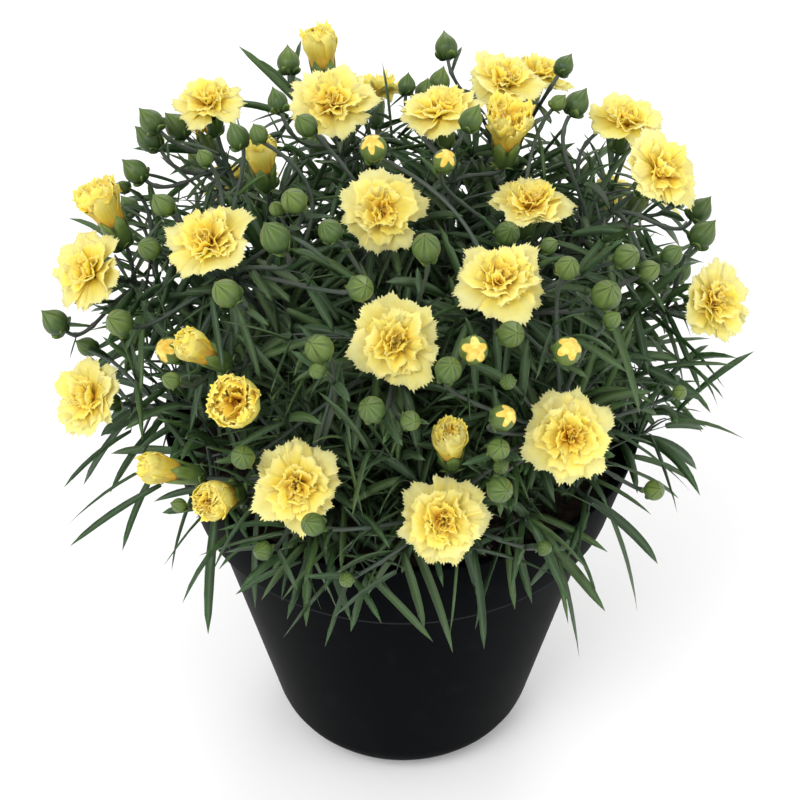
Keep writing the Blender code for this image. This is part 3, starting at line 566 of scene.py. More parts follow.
def grow_skirt(room, stems, rng):
    """Short leafy shoots that lean out over the rim, evenly round the pot, each on the nearest stem."""
    feet = np.array([s["controls"][0][:2] for s in stems])
    for number in range(SKIRT_SHOOTS):
        heading = (number + rng.uniform(-0.25, 0.25)) * 360 / SKIRT_SHOOTS
        outward = facing(heading, 90)
        near = feet @ outward[:2] - 0.6 * np.linalg.norm(feet - outward[:2] * feet.max(), axis=1)
        for attempt in range(12):
            turned = facing(heading + (attempt - 6) * 3, 90)
            end = turned * (RIM_RADIUS - rng.uniform(-4, 10) * MM) + (0, 0, RIM_Z + rng.uniform(9, 18) * MM)
            owner = int(np.argsort(-near)[attempt % 3])
            start, along, _, _ = node_at(stems[owner]["line"], STEM_NODES[0])
            span = np.linalg.norm(end - start)
            controls = (start, start + unit(along + turned) * 0.35 * span, end - turned * 0.35 * span, end)
            path = points_along(controls)
            clear = room.free(path[4:], BRANCH_RADIUS, [owner])
            if clear and room.free(path[10:], BRANCH_RADIUS, (), 0.4 * MM):
                room.take(path, BRANCH_RADIUS, owner)
                stems[owner]["shoots"].append({"controls": controls, "line": path, "leaves": []})
                break


def length_at(share):
    """How long a stem's leaves are at this share of its length."""
    return LEAF_LENGTHS[0] + (LEAF_LENGTHS[1] - LEAF_LENGTHS[0]) * share


def grow_leaves(room, stems, rng):
    """Opposite leaf pairs, each crosswise to the last, first on the side shoots and then up the stems."""
    for owner, stem in enumerate(stems):
        for shoot in stem["shoots"]:
            for node, share in enumerate(SHOOT_NODES):
                turn = node * math.pi / 2 + 0.4
                shoot["leaves"] += grow_pair(
                    grow_leaf, room, owner, rng, shoot["line"], share, turn, SKIRT_LEAF, 1.1
                )
    for node, share in enumerate(STEM_NODES):
        for owner, stem in enumerate(stems):
            turn = node * math.pi / 2 + owner
            stem["leaves"] += grow_pair(
                grow_leaf, room, owner, rng, stem["line"], share, turn, length_at(share), 0.7
            )


# %% [markdown]
# The solids carry some three hundred leaves, and the real plant has thousands. What the solids leave out
# grows here by the same rule, but closer: small leafy shoots in the axils, more pairs up each stem and
# small pairs on the flower stalks. At the crown's edge, where the background shows through, fewer grow.

# %% Fine leaves and tufts
TUFT_PLACES = (0.06, 0.13, 0.20, 0.28, 0.36, 0.45, 0.54, 0.64)
PAIR_PLACES = (0.16, 0.33, 0.50, 0.66, 0.81, 0.93)
STALK_PLACES = (0.3, 0.62, 0.86)
TUFT_RADIUS = 0.8 * MM
FILLING_RADIUS = 0.7 * MM
EDGE_SHARE = 0.4  # of the finer leaves at the crown's edge, how many grow


def at_crown_edge(tip):
    """True where the crown is thin and the background shows through it: low at the sides, and at the top."""
    beside = math.hypot(tip[0], tip[1]) > 122 * MM and abs(tip[0]) > 85 * MM
    return (beside and tip[2] < 270 * MM) or tip[2] > 325 * MM


def grow_fine_leaf(room, owner, rng, line, share, turn, length, droop):
    """One more leaf, as close to the others as it can lie without touching. None if there is no room."""
    for controls, level, size in leaf_tries(rng, line, share, turn, length, droop, FINE_LEAF):
        arc = bezier(controls, np.linspace(0.0, 1, 12))
        if at_crown_edge(arc[-1]) and rng.random() > EDGE_SHARE:
            return None
        if inside_box(arc) and room.free(arc[3:], FINE_LEAF_ROOM, (), 0.1 * MM):
            room.take(arc, FINE_LEAF_ROOM, owner)
            broad = LEAF_WIDTH * rng.uniform(0.58, 1.0) * min(1, size / (45 * MM) + 0.35)
            return {"controls": controls, "level": level, "broad": broad}
    return None


def grow_tuft(room, owner, rng, line, share, turn, length):
    """A short leafy shoot in an axil, or None."""
    start, along, side, other = node_at(line, share)
    outward = spoke(side, other, turn)
    end = start + (along * rng.uniform(0.3, 0.8) + outward + (0, 0, 0.25)) * length
    controls = (start, start + unit(along + outward) * 0.4 * length, end - outward * 0.2 * length, end)
    path = points_along(controls)
    if not room.free(path[8:], TUFT_RADIUS, (), 0.1 * MM):
        return None
    room.take(path[::2], TUFT_RADIUS, owner)
    leaves = []
    for number, place in enumerate((0.4, 0.68, 0.97)):
        for half in (0, math.pi):
            size = length * rng.uniform(0.9, 1.5) + 8 * MM
            leaf = grow_fine_leaf(room, owner, rng, path, place, number * math.pi / 2 + half, size, 0.6)
            leaves += [leaf] if leaf else []
    return {"controls": controls, "leaves": leaves} if leaves else None


def inside_box(points, margin=3 * MM):
    """True if all these points lie in the box of the plain solids, give or take a margin."""
    low, high = np.array(CAD_BOX[0]) - margin, np.array(CAD_BOX[1]) + margin
    return bool(((points > low) & (points < high)).all())


# %% [markdown]
# Some places in the crown are still bare. A place is picked at random, and if nothing is there, a leafy
# shoot reaches into it from a near stem.

# %% Shoots that fill the crown
def place_in_crown(rng, heights, levels):
    """A random place in the dome, between these heights and these shares of its area."""
    height = rng.uniform(*heights)
    out = crown_radius(height, 0.02) * math.sqrt(rng.uniform(*levels))
    return round_the_pot(out, rng.uniform(0, 2 * math.pi), height)


def path_to(spot, start, gap, length):
    """Control points of a shoot that leaves its stem upwards and levels out towards the spot."""
    away = unit(gap * (1, 1, 0.2))
    rise = unit(gap + (0, 0, 0.45 * length) + away * 0.2 * length)
    return start, start + rise * 0.4 * length, spot - away * 0.25 * length, spot


def leaves_on(room, owner, rng, path, places, lengths, droop):
    """Crosswise pairs of fine leaves at these places of a shoot."""
    leaves = []
    for number, place in enumerate(places):
        for half in (0, math.pi):
            size = rng.uniform(*lengths)
            turn = number * math.pi / 2 + half + rng.uniform(-0.5, 0.5)
            share = place - rng.uniform(0, 0.06)
            leaf = grow_fine_leaf(room, owner, rng, path, share, turn, size, droop)
            leaves += [leaf] if leaf else []
    return leaves


def hosts_of_shoots(stems):
    """Every point that a shoot can start from, and the stem that each belongs to."""
    lines, owners = [], []
    for owner, stem in enumerate(stems):
        for line in [stem["line"][2:38]] + [shoot["line"][2:40] for shoot in stem["shoots"]]:
            lines.append(line)
            owners += [owner] * len(line)
    return np.vstack(lines), owners


def grow_filling(room, stems, rng, count, heights, levels, lengths, droop):
    """Leafy shoots that reach into places the crown still lacks, each from a near stem or shoot."""
    hosts, owners = hosts_of_shoots(stems)
    made = 0
    for _ in range(count):
        spot = place_in_crown(rng, heights, levels)
        if not room.free(spot[None], 3.5 * MM, (), 0) or not inside_box(spot[None]):
            continue
        gap = spot - hosts
        far = np.linalg.norm(gap, axis=1)
        cost = far + 0.8 * np.maximum(0, 12 * MM - gap[:, 2]) + 0.4 * np.maximum(0, 20 * MM - far)
        for host in np.argsort(cost)[:40:8]:
            length, owner = far[host], owners[host]
            if not 10 * MM < length < 120 * MM:
                continue
            controls = path_to(spot, hosts[host], gap[host], length)
            path = points_along(controls)
            if not room.free(path[8:], FILLING_RADIUS, (), 0.1 * MM):
                continue
            room.take(path[::2], FILLING_RADIUS, owner)
            places = (0.38, 0.70, 0.98) if length > 45 * MM else (0.5, 0.98)
            leaves = leaves_on(room, owner, rng, path, places, lengths, droop)
            if leaves:
                stems[owner]["tufts"].append({"controls": controls, "leaves": leaves})
                made += 1
            break
    return made


def grow_finer(room, stems, rng):
    """Adds to each stem its fine leaves and tufts."""
    for stem in stems:
        stem["fine"], stem["tufts"] = [], []
    for place in TUFT_PLACES:
        for owner, stem in enumerate(stems):
            for third in range(3):
                turn = place * 40 + owner + third * 2.1
                tuft = grow_tuft(room, owner, rng, stem["line"], place, turn, rng.uniform(18, 38) * MM)
                stem["tufts"] += [tuft] if tuft else []
    for place in PAIR_PLACES:
        for owner, stem in enumerate(stems):
            turn = place * 60 + owner
            stem["fine"] += grow_pair(
                grow_fine_leaf, room, owner, rng, stem["line"], place, turn, length_at(place), 0.6
            )
    for place in STALK_PLACES:
        for owner, stem in enumerate(stems):
            for head in stem["buds"] + stem["openings"] + stem["shoots"]:
                line = points_along(head["controls"])
                for half in (0, math.pi):
                    size = rng.uniform(14, 30) * MM
                    leaf = grow_fine_leaf(room, owner, rng, line, place, place * 30 + half, size, 0.4)
                    stem["fine"] += [leaf] if leaf else []


# %% [markdown]
# Fine leaves must not hide the blooms. The space in front of each head is taken before they grow, and a
# bud's stalk that would cross in front of an open head is bowed to pass beside it.

# %% Keeping the heads in view
def keep_heads_seen(room, heads):
    """Keeps the finer leaves out of the space in front of each head, where they would hide it."""
    for head in heads:
        toward_eye = unit(EYE - head["base"])
        ways = [head["axis"]] + ([toward_eye] if head["axis"] @ toward_eye > 0.2 else [])
        side, other = square_to(head["axis"], HEAD_SKEW)
        rim = spokes(side, other, np.arange(6) * math.pi / 3) * head["radius"] * 0.75
        front = head["base"] + head["axis"] * (CALYX_LENGTH + 7 * MM)
        for way in ways:
            for lift in (8, 18, 30, 44):
                spots = np.vstack([front, front + rim]) + way * lift * MM
                room.take(spots, 0.38 * head["radius"], -1)


def hides_a_head(line, heads):
    """True if any of these points lies in front of an open head's face, as the eye sees it."""
    for head in heads:
        face = head["base"] + head["axis"] * (CALYX_LENGTH + 4 * MM)
        sight = unit(face - EYE)
        if head["axis"] @ sight > 0.2:
            continue
        away = line - face
        depth = away @ sight
        beside = np.linalg.norm(away - np.outer(depth, sight), axis=1)
        if ((depth < -2 * MM) & (beside < 0.9 * head["radius"])).any():
            return True
    return False


def bow_stalks(stems, heads):
    """Bows a bud's stalk just enough to pass beside an open head where it would cross in front of it."""
    bowed = 0
    for stem in stems:
        for bud in stem["buds"]:
            start, first, second, base = bud["controls"]
            if not hides_a_head(bezier(bud["controls"], np.linspace(0, 1, 24)), heads):
                continue
            level = unit(np.cross(base - start, EYE - base))
            for bow in (8, -8, 16, -16, 24, -24, 32, -32, 42, -42):
                shift = level * bow * MM
                controls = (start, first + shift, second + shift, base)
                if not hides_a_head(bezier(controls, np.linspace(0, 1, 24)), heads):
                    bud["controls"] = controls
                    bowed += 1
                    break
    return bowed


# %% [markdown]
# Everything grows in one order from one seed. The solids' growth comes first, so that it is the same as
# theirs, and the smallest buds and the finer growth come after it.

# %% Growing the whole plant
# Where shoots fill the crown: how many are tried, heights, shares of its area, leaf lengths and their droop
FILLINGS = (
    (75, (222 * MM, 255 * MM), (0.45, 0.88), (40 * MM, 60 * MM), 1.0),
    (230, (225 * MM, 300 * MM), (0.30, 0.84), (36 * MM, 60 * MM), 0.8),
    (330, (265 * MM, 345 * MM), (0.05, 0.82), (28 * MM, 52 * MM), 0.6),
    (120, (215 * MM, 250 * MM), (0.0, 0.6), (32 * MM, 54 * MM), 0.6),
)


def grow_plant():
    """The whole plant as (stems, blooms): first as the solids have it, and then the finer growth."""
    rng = random.Random(SEED)
    room = Room()
    heads = place_heads(room)
    blooms = [h for h in heads if h["kind"] == "bloom"]
    stems = grow_stems(room, blooms)
    for head, loose in zip(heads[len(blooms):], LOOSENESS):
        head["loose"] = loose
    grow_openings(room, stems, heads[len(blooms):], len(blooms))
    grow_buds(room, stems, rng, FRONT_BUDS, BACK_BUDS)
    grow_skirt(room, stems, rng)
    grow_leaves(room, stems, rng)
    grow_buds(room, stems, rng, SMALL_BUDS, ())
    print("stalks bowed", bow_stalks(stems, heads))
    keep_heads_seen(room, heads)
    grow_finer(room, stems, rng)
    for filling in FILLINGS:
        print("filling shoots", grow_filling(room, stems, rng, *filling))
    return stems, blooms


stems, blooms = grow_plant()
fine_leaves = sum(len(s["fine"]) + sum(len(t["leaves"]) for t in s["tufts"]) for s in stems)
print(len(stems), "stems,", sum(len(s["buds"]) for s in stems), "buds,", fine_leaves, "finer leaves")

# %% [markdown]
# ## Finishes
#
# Every finish is worked out by nodes. A pattern that follows the surface, such as the midrib of a leaf or
# the yellow that deepens towards the heart of a bloom, reads the piece's own map: across and along each
# leaf or petal. A second value, the tone, is one number for each leaf or petal, so that no two have quite
# the same colour.

# %% Helpers for finishes
def new_finish(name, roughness):
    """A new material as (material, node tree, shader)."""
    material = bpy.data.materials.new(name)
    material.use_nodes = True
    tree = material.node_tree
    shader = tree.nodes["Principled BSDF"]
    shader.inputs["Roughness"].default_value = roughness
    return material, tree, shader


def feed(slot, value):
    """Gives an input a number, a colour or another node's output."""
    if isinstance(value, bpy.types.NodeSocket):
        value.id_data.links.new(value, slot)
    elif isinstance(value, tuple) and slot.type == "RGBA":
        slot.default_value = (*value, 1)
    else:
        slot.default_value = value


def noise(tree, scale, detail=3.0, stretch=None, source="Object"):
    """Noise over the object, or over its map, as a socket from 0 to 1."""
    socket = tree.nodes.new("ShaderNodeTexCoord").outputs[source]
    if stretch:
        mapping = tree.nodes.new("ShaderNodeMapping")
        feed(mapping.inputs["Scale"], stretch)
        feed(mapping.inputs["Vector"], socket)
        socket = mapping.outputs["Vector"]
    texture = tree.nodes.new("ShaderNodeTexNoise")
    feed(texture.inputs["Scale"], scale)
    feed(texture.inputs["Detail"], detail)
    feed(texture.inputs["Vector"], socket)
    return texture.outputs["Fac"]


def ramp(value, stops):
    """Colours at places from 0 to 1, looked up by a socket."""
    node = value.id_data.nodes.new("ShaderNodeValToRGB")
    elements = node.color_ramp.elements
    for element, (place, colour) in zip(elements, (stops[0], stops[-1])):
        element.position = place
        element.color = (*colour, 1)
    for place, colour in stops[1:-1]:
        elements.new(place).color = (*colour, 1)
    feed(node.inputs["Fac"], value)
    return node.outputs["Color"]


def mixed(share, first, second):
    """Two colours mixed by a socket."""
    node = share.id_data.nodes.new("ShaderNodeMix")
    node.data_type = "RGBA"
    feed(node.inputs["Factor"], share)
    for name, colour in (("A", first), ("B", second)):
        feed(next(s for s in node.inputs if s.name == name and s.type == "RGBA"), colour)
    return next(s for s in node.outputs if s.type == "RGBA")


def arithmetic(operation, *values):
    """A sum of one or two sockets or numbers."""
    socket = next(v for v in values if isinstance(v, bpy.types.NodeSocket))
    node = socket.id_data.nodes.new("ShaderNodeMath")
    node.operation = operation
    for slot, value in zip(node.inputs, values):
        feed(slot, value)
    return node.outputs["Value"]


def plus(first, second):
    return arithmetic("ADD", first, second)


def minus(first, second):
    return arithmetic("SUBTRACT", first, second)


def times(first, second):
    return arithmetic("MULTIPLY", first, second)


def span(value, low, high):
    """A socket's place between low and high, kept within 0 and 1."""
    node = value.id_data.nodes.new("ShaderNodeMapRange")
    feed(node.inputs["From Min"], low)
    feed(node.inputs["From Max"], high)
    feed(node.inputs["Value"], value)
    return node.outputs["Result"]


def split(socket):
    """A vector's parts."""
    node = socket.id_data.nodes.new("ShaderNodeSeparateXYZ")
    feed(node.inputs["Vector"], socket)
    return node.outputs


def own_map(tree):
    """The piece's own map as (across, along)."""
    place = tree.nodes.new("ShaderNodeUVMap")
    place.uv_map = "blade"
    parts = split(place.outputs["UV"])
    return parts["X"], parts["Y"]


def own_tone(tree):
    node = tree.nodes.new("ShaderNodeAttribute")
    node.attribute_name = "tone"
    return node.outputs["Fac"]


def bumped(shader, height, distance, strength):
    """Low relief from a socket, its depth in metres."""
    node = height.id_data.nodes.new("ShaderNodeBump")
    feed(node.inputs["Distance"], distance)
    feed(node.inputs["Strength"], strength)
    feed(node.inputs["Height"], height)
    feed(shader.inputs["Normal"], node.outputs["Normal"])


def let_light_in(shader, weight, radius):
    """Light that is carried a short way under the surface, this far in red, green and blue, in metres."""
    feed(shader.inputs["Subsurface Weight"], weight)
    feed(shader.inputs["Subsurface Radius"], radius)
    feed(shader.inputs["Subsurface Scale"], 1.0)


# %% [markdown]
# The pot is moulded black plastic: nearly black with a trace of blue, satin, with a very fine grain,
# streaks and grey scuffs. A painted highlight, a thin paler line, runs along the lower edge of the
# collar band, where its sharp edge catches the light.

# %% Black pot plastic
def pot_plastic():
    material, tree, shader = new_finish("black moulded plastic", 0.42)
    shader.inputs["Specular IOR Level"].default_value = 0.012
    streaks = noise(tree, 9, 4, (1, 1, 0.35))
    scuffs = ramp(noise(tree, 60, 6), ((0.56, (0, 0, 0)), (0.74, (1, 1, 1))))
    base = mixed(span(streaks, 0.4, 0.75), (0.0008, 0.0012, 0.0017), (0.0017, 0.0022, 0.0028))
    colour = mixed(times(scuffs, 0.25), base, (0.009, 0.010, 0.011))
    # Painted highlight: a thin paler line along the lower edge of the collar band, where its sharp edge
    # catches the light.
    height = split(tree.nodes.new("ShaderNodeTexCoord").outputs["Object"])["Z"]
    painted_highlight_rise = span(height, BAND_LOW_Z - 1.2 * MM, BAND_LOW_Z - 0.4 * MM)
    above = span(height, BAND_LOW_Z + 0.5 * MM, BAND_LOW_Z + 2.0 * MM)
    colour = mixed(times(painted_highlight_rise, minus(1, above)), colour, (0.022, 0.024, 0.026))
    feed(shader.inputs["Base Color"], colour)
    feed(shader.inputs["Roughness"], plus(times(streaks, 0.20), 0.38))
    bumped(shader, noise(tree, 900, 3), 0.00012, 0.5)
    return material


# %% [markdown]
# The soil is peat: dark brown crumbs with paler fibres and a few grains of white perlite, which are pieces
# of their own with a plain chalky finish.

# %% Peat and perlite
PEAT_BROWNS = ((0.30, (0.010, 0.006, 0.004)), (0.55, (0.034, 0.021, 0.013)), (0.8, (0.09, 0.060, 0.037)))


def peat_soil():
    material, tree, shader = new_finish("dark peat", 0.95)
    feed(shader.inputs["Base Color"], ramp(noise(tree, 260, 8), PEAT_BROWNS))
    bumped(shader, noise(tree, 420, 8), 0.0012, 0.9)
    return material


def perlite_grain():
    material, tree, shader = new_finish("perlite", 0.9)
    colour = ramp(noise(tree, 500, 5), ((0.3, (0.42, 0.40, 0.36)), (0.7, (0.72, 0.70, 0.66))))
    feed(shader.inputs["Base Color"], colour)
    bumped(shader, noise(tree, 900, 4), 0.0004, 0.8)
    return material


# %% [markdown]
# A dianthus leaf is dark green under a thin bluish wax, paler along the midrib and at the very edge, and
# dry and straw coloured at the tip. Stems are greyer, and purplish where the sun reaches them. Buds and
# calyxes are a fresher green, striped along the seams where their five sepals meet.

# %% Leaf, stem and bud green
LEAF_GREENS = ((0.0, (0.017, 0.040, 0.016)), (0.55, (0.032, 0.069, 0.023)), (1.0, (0.075, 0.130, 0.030)))
STEM_GREENS = ((0.30, (0.030, 0.055, 0.034)), (0.55, (0.045, 0.062, 0.046)), (0.75, (0.060, 0.050, 0.056)))


def leaf_green():
    material, tree, shader = new_finish("bluish leaf", 0.46)
    across, along = own_map(tree)
    wax = span(noise(tree, 130, 4), 0.38, 0.72)
    off_middle = arithmetic("ABSOLUTE", minus(across, 0.5))
    rib = minus(1, span(off_middle, 0.03, 0.13))
    colour = ramp(own_tone(tree), LEAF_GREENS)
    colour = mixed(times(wax, 0.35), colour, (0.066, 0.104, 0.056))
    colour = mixed(times(rib, 0.40), colour, (0.080, 0.140, 0.058))
    colour = mixed(times(span(off_middle, 0.44, 0.50), 0.35), colour, (0.090, 0.150, 0.055))
    colour = mixed(times(span(along, 0.965, 1.0), 0.75), colour, (0.22, 0.20, 0.07))
    feed(shader.inputs["Base Color"], colour)
    feed(shader.inputs["Roughness"], plus(times(wax, 0.18), 0.38))
    bumped(shader, noise(tree, 1, 2, (26, 2.5, 1), "UV"), 0.0003, 0.5)
    shader.inputs["Specular IOR Level"].default_value = 0.36
    let_light_in(shader, 0.12, (0.0006, 0.0015, 0.0004))
    return material


def stem_green():
    material, tree, shader = new_finish("waxy stem", 0.5)
    feed(shader.inputs["Base Color"], ramp(noise(tree, 55, 4), STEM_GREENS))
    bumped(shader, noise(tree, 700, 2, (1, 1, 0.15)), 0.0002, 0.5)
    return material


def bud_shades(tree, seam, along, tone, stripes):
    """A bud's green with painted light and shade: dark at its foot, lit towards its tip and along each
    sepal's middle; striped, and pale beside the seams with a painted shade line in them.
    """
    # Painted light and shade: a dark shade green at the foot runs up to a bright lit green at the tip, with
    # random patches, and is brighter along each sepal's middle than at its seams.
    low = mixed(tone, (0.024, 0.052, 0.020), (0.038, 0.076, 0.022))
    high = mixed(tone, (0.070, 0.130, 0.024), (0.140, 0.205, 0.038))
    lift = plus(plus(along, times(noise(tree, 150, 4), 1.1)), times(seam, 0.18))
    colour = mixed(span(lift, 0.75, 1.65), low, high)
    colour = mixed(times(span(stripes, 0.45, 0.7), 0.24), colour, (0.17, 0.27, 0.06))
    upper = span(along, 0.48, 0.80)
    rim = times(minus(1, span(seam, 0.42, 0.75)), upper)
    colour = mixed(times(rim, 0.40), colour, (0.21, 0.28, 0.075))
    # Painted shade: a dark line down each seam over the upper half of the bud, where the groove between
    # sepals lies in shade.
    painted_seam_shade = times(minus(1, span(seam, 0.10, 0.36)), upper)
    return mixed(times(painted_seam_shade, 0.92), colour, (0.014, 0.034, 0.010))


def yellow_tip(tree, seam, along, tone):
    """Where a parted bud shows its petals: in a cap that runs down its seams, if its tone is over 1.5."""
    steepness = plus(times(noise(tree, 110, 2), 6.0), 1.0)
    cap = minus(1.61, times(tone, 0.5))
    drop = times(minus(cap, along), steepness)
    gap = span(minus(minus(1, seam), drop), 0.0, 0.10)
    return times(gap, span(tone, 1.4, 1.5))


def bud_green():
    material, tree, shader = new_finish("calyx green", 0.36)
    seam, along = own_map(tree)
    tone = own_tone(tree)
    stripes = noise(tree, 1, 2, (14, 1.2, 1), "UV")
    petal = mixed(span(noise(tree, 420, 2), 0.35, 0.65), (0.80, 0.50, 0.06), (0.90, 0.72, 0.18))
    green = bud_shades(tree, seam, along, tone, stripes)
    feed(shader.inputs["Base Color"], mixed(yellow_tip(tree, seam, along, tone), green, petal))
    bumped(shader, stripes, 0.0003, 0.5)
    shader.inputs["Specular IOR Level"].default_value = 0.3
    let_light_in(shader, 0.15, (0.001, 0.002, 0.0006))
    return material


# %% [markdown]
# A petal is thin and lets light through, so some of the light is carried under its surface. It is cream at
# the toothed edge, lemon over the blade and almost orange at the claw, and the heads that are only half
# open are warmer all over. Fine veins fan out from the claw.

# %% Petal yellow
PETAL_YELLOWS = (
    (0.0, (0.90, 0.40, 0.020)), (0.22, (0.94, 0.60, 0.04)),
    (0.5, (0.96, 0.74, 0.10)), (0.85, (0.97, 0.85, 0.28)),
)


def petal_yellow():
    material, tree, shader = new_finish("petal yellow", 0.55)
    _, along = own_map(tree)
    paleness = minus(plus(times(along, 0.72), 0.16), times(own_tone(tree), 0.6))
    mottle = times(minus(noise(tree, 240, 4), 0.5), 0.35)
    veins = span(noise(tree, 1, 2, (16, 1.1, 1), "UV"), 0.42, 0.62)
    colour = mixed(times(veins, 0.16), ramp(plus(paleness, mottle), PETAL_YELLOWS), (0.97, 0.89, 0.36))
    feed(shader.inputs["Base Color"], colour)
    bumped(shader, veins, 0.0002, 0.4)
    shader.inputs["Specular IOR Level"].default_value = 0.3
    let_light_in(shader, 0.5, (0.004, 0.0032, 0.0010))
    return material


PLASTIC = pot_plastic()
PEAT = peat_soil()
PERLITE = perlite_grain()
LEAF = leaf_green()
STEM = stem_green()
BUD = bud_green()
PETAL = petal_yellow()
print(len(bpy.data.materials), "finishes")

# %% [markdown]
# ## Working by hand
#
# A few helpers stand for what a hand does in edit mode: select a ring or a row by its place, extrude it,
# and move or scale it. Everything is deselected first, because the plain solids come in selected. A round
# piece is raised as a potter would: a filled circle is extruded upwards ring by ring, each ring scaled to
# the profile.

# %% Edit mode helpers
def start_from(add, name, **settings):
    """Adds one primitive and leaves it alone selected and active."""
    bpy.ops.object.select_all(action="DESELECT")
    add(**settings)
    obj = bpy.context.active_object
    obj.name = obj.data.name = name
    return obj


def select_where(obj, test):
    """Selects the vertices whose place passes the test, in edit mode."""
    bpy.ops.object.mode_set(mode="EDIT")
    bpy.ops.mesh.select_mode(type="VERT")
    bm = bmesh.from_edit_mesh(obj.data)
    for vert in bm.verts:
        vert.select = bool(test(vert.co))
    bm.select_flush(True)
    bm.select_flush(False)
    bmesh.update_edit_mesh(obj.data)


def raise_ring(step, factor, height):
    """Extrudes the selected ring upwards by a step and scales it about the axis at its new height."""
    bpy.ops.mesh.extrude_region_move(TRANSFORM_OT_translate={"value": (0, 0, step)})
    bpy.ops.transform.resize(value=(factor, factor, 1), center_override=(0, 0, height))


def raised(name, profile, sides):
    """A solid raised from a filled circle through a profile's (radius, height) points and then closed."""
    radius, height = profile[0]
    obj = start_from(
        bpy.ops.mesh.primitive_circle_add, name, vertices=sides, radius=radius, fill_type="TRIFAN",
        location=(0, 0, height),
    )
    bpy.ops.object.transform_apply(location=True, rotation=True, scale=True)
    select_where(obj, lambda co: co.xy.length > radius * 0.99)
    for next_radius, next_height in profile[1:]:
        raise_ring(next_height - height, next_radius / radius, next_height)
        radius, height = next_radius, next_height
    bpy.ops.mesh.extrude_region_move(TRANSFORM_OT_translate={"value": (0, 0, 0)})
    bpy.ops.mesh.merge(type="CENTER")
    return obj


def apply_modifier(obj, kind, **settings):
    """Adds a modifier and applies it."""
    bpy.ops.object.mode_set(mode="OBJECT")
    modifier = obj.modifiers.new(kind.title(), kind)
    for key, value in settings.items():
        setattr(modifier, key, value)
    bpy.context.view_layer.objects.active = obj
    bpy.ops.object.modifier_apply(modifier=modifier.name)


def finish_by_hand(obj, material, smooth_angle=None):
    """Back to object mode, doubles merged, normals outwards, shaded smooth, with its material."""
    bpy.ops.object.mode_set(mode="EDIT")
    bpy.ops.mesh.select_all(action="SELECT")
    bpy.ops.mesh.remove_doubles(threshold=0.000005)
    bpy.ops.mesh.normals_make_consistent(inside=False)
    bpy.ops.object.mode_set(mode="OBJECT")
    if smooth_angle:
        bpy.ops.object.shade_smooth_by_angle(angle=math.radians(smooth_angle))
    else:
        bpy.ops.object.shade_smooth()
    obj.data.materials.clear()
    obj.data.materials.append(material)
    return obj


# %% [markdown]
# ## The pot
#
# A pot like this is moulded, with one wall thickness all over. It could be spun from a drawn profile. Here
# it is raised from its foot instead, up the outside, over the rim and down the inside, so that the foot is
# closed and the wall has its real thickness. The profile has a rounded foot, a long taper, a sharp step
# where the collar band stands proud, and a rolled rim.

# %% The pot's profile
POT_RING = 144


def roll(middle_r, middle_z, size, first, last, steps):
    """An arc of a profile, by angles in degrees from straight out."""
    angles = [math.radians(first + (last - first) * step / steps) for step in range(steps + 1)]
    return [(middle_r + size * math.cos(a), middle_z + size * math.sin(a)) for a in angles]


def foot_points(inset, steps):
    """The foot's rounding, this far inside the outer face."""
    tip = math.atan2(BODY_TOP_RADIUS - FOOT_RADIUS, BAND_LOW_Z)
    middle = FOOT_RADIUS + FOOT_ROUNDING * math.tan(tip) - FOOT_ROUNDING / math.cos(tip)
    size = FOOT_ROUNDING - inset
    angles = [-math.pi / 2 + (math.pi / 2 - tip) * step / steps for step in range(steps + 1)]
    return [(middle + size * math.cos(a), FOOT_ROUNDING + size * math.sin(a)) for a in angles]


def pot_profile():
    """Outside from the foot to the rim, and inside from the rim to the floor."""
    under_band = [
        (BODY_TOP_RADIUS - 0.7 * MM, BAND_LOW_Z - 3 * MM),
        (BODY_TOP_RADIUS - 0.1 * MM, BAND_LOW_Z - 0.4 * MM),
        (BODY_TOP_RADIUS + 0.5 * MM, BAND_LOW_Z),
        (BAND_LOW_RADIUS - 0.9 * MM, BAND_LOW_Z),
    ]
    band_edge = roll(BAND_LOW_RADIUS - 0.7 * MM, BAND_LOW_Z + 0.8 * MM, 0.8 * MM, -80, 5, 3)
    bead = RIM_ROUNDING * 0.75
    rim = roll(RIM_RADIUS - bead, RIM_Z - bead, bead, 0, 90, 4)
    lip = [(RIM_RADIUS - WALL * 1.2, RIM_Z), (RIM_RADIUS - WALL * 1.4, RIM_Z - 0.4 * MM)]
    inside = [
        (BODY_TOP_RADIUS - WALL + 2 * MM, BAND_LOW_Z + 2 * MM),
        (BODY_TOP_RADIUS - WALL, BAND_LOW_Z - 2 * WALL),
    ]
    return foot_points(0, 8) + under_band + band_edge + rim + lip + inside + foot_points(WALL, 8)[::-1]


# %% The pot, raised ring by ring
def make_pot():
    pot = raised("pot_fine", pot_profile(), POT_RING)
    bpy.ops.object.mode_set(mode="OBJECT")
    for number in range(DRAIN_COUNT):
        turn = 2 * math.pi * number / DRAIN_COUNT
        drill = start_from(
            bpy.ops.mesh.primitive_cylinder_add, "drill", vertices=28, radius=DRAIN_RADIUS, depth=20 * MM,
            location=(DRAIN_RING * math.cos(turn), DRAIN_RING * math.sin(turn), 0),
        )
        bpy.ops.object.transform_apply(location=True, rotation=True, scale=True)
        apply_modifier(pot, "BOOLEAN", operation="DIFFERENCE", object=drill, solver="EXACT")
        bpy.data.objects.remove(drill)
    bpy.ops.object.select_all(action="DESELECT")
    pot.select_set(True)
    bpy.context.view_layer.objects.active = pot
    return finish_by_hand(pot, PLASTIC, 35)


pot = make_pot()
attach(pot, "root")
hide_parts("pot")
print("pot", len(pot.data.polygons), "faces")

# %% [markdown]
# ## Laying copies
#
# A leaf, a bud, a calyx and a petal are each modelled once, flat and straight, and then laid many times:
# every copy is bent along its own curve. This is what a Curve modifier does, but nearly three thousand
# modifiers would be slow, so a few lines move the points of each copy. All copies of one spray or bloom
# make one mesh.

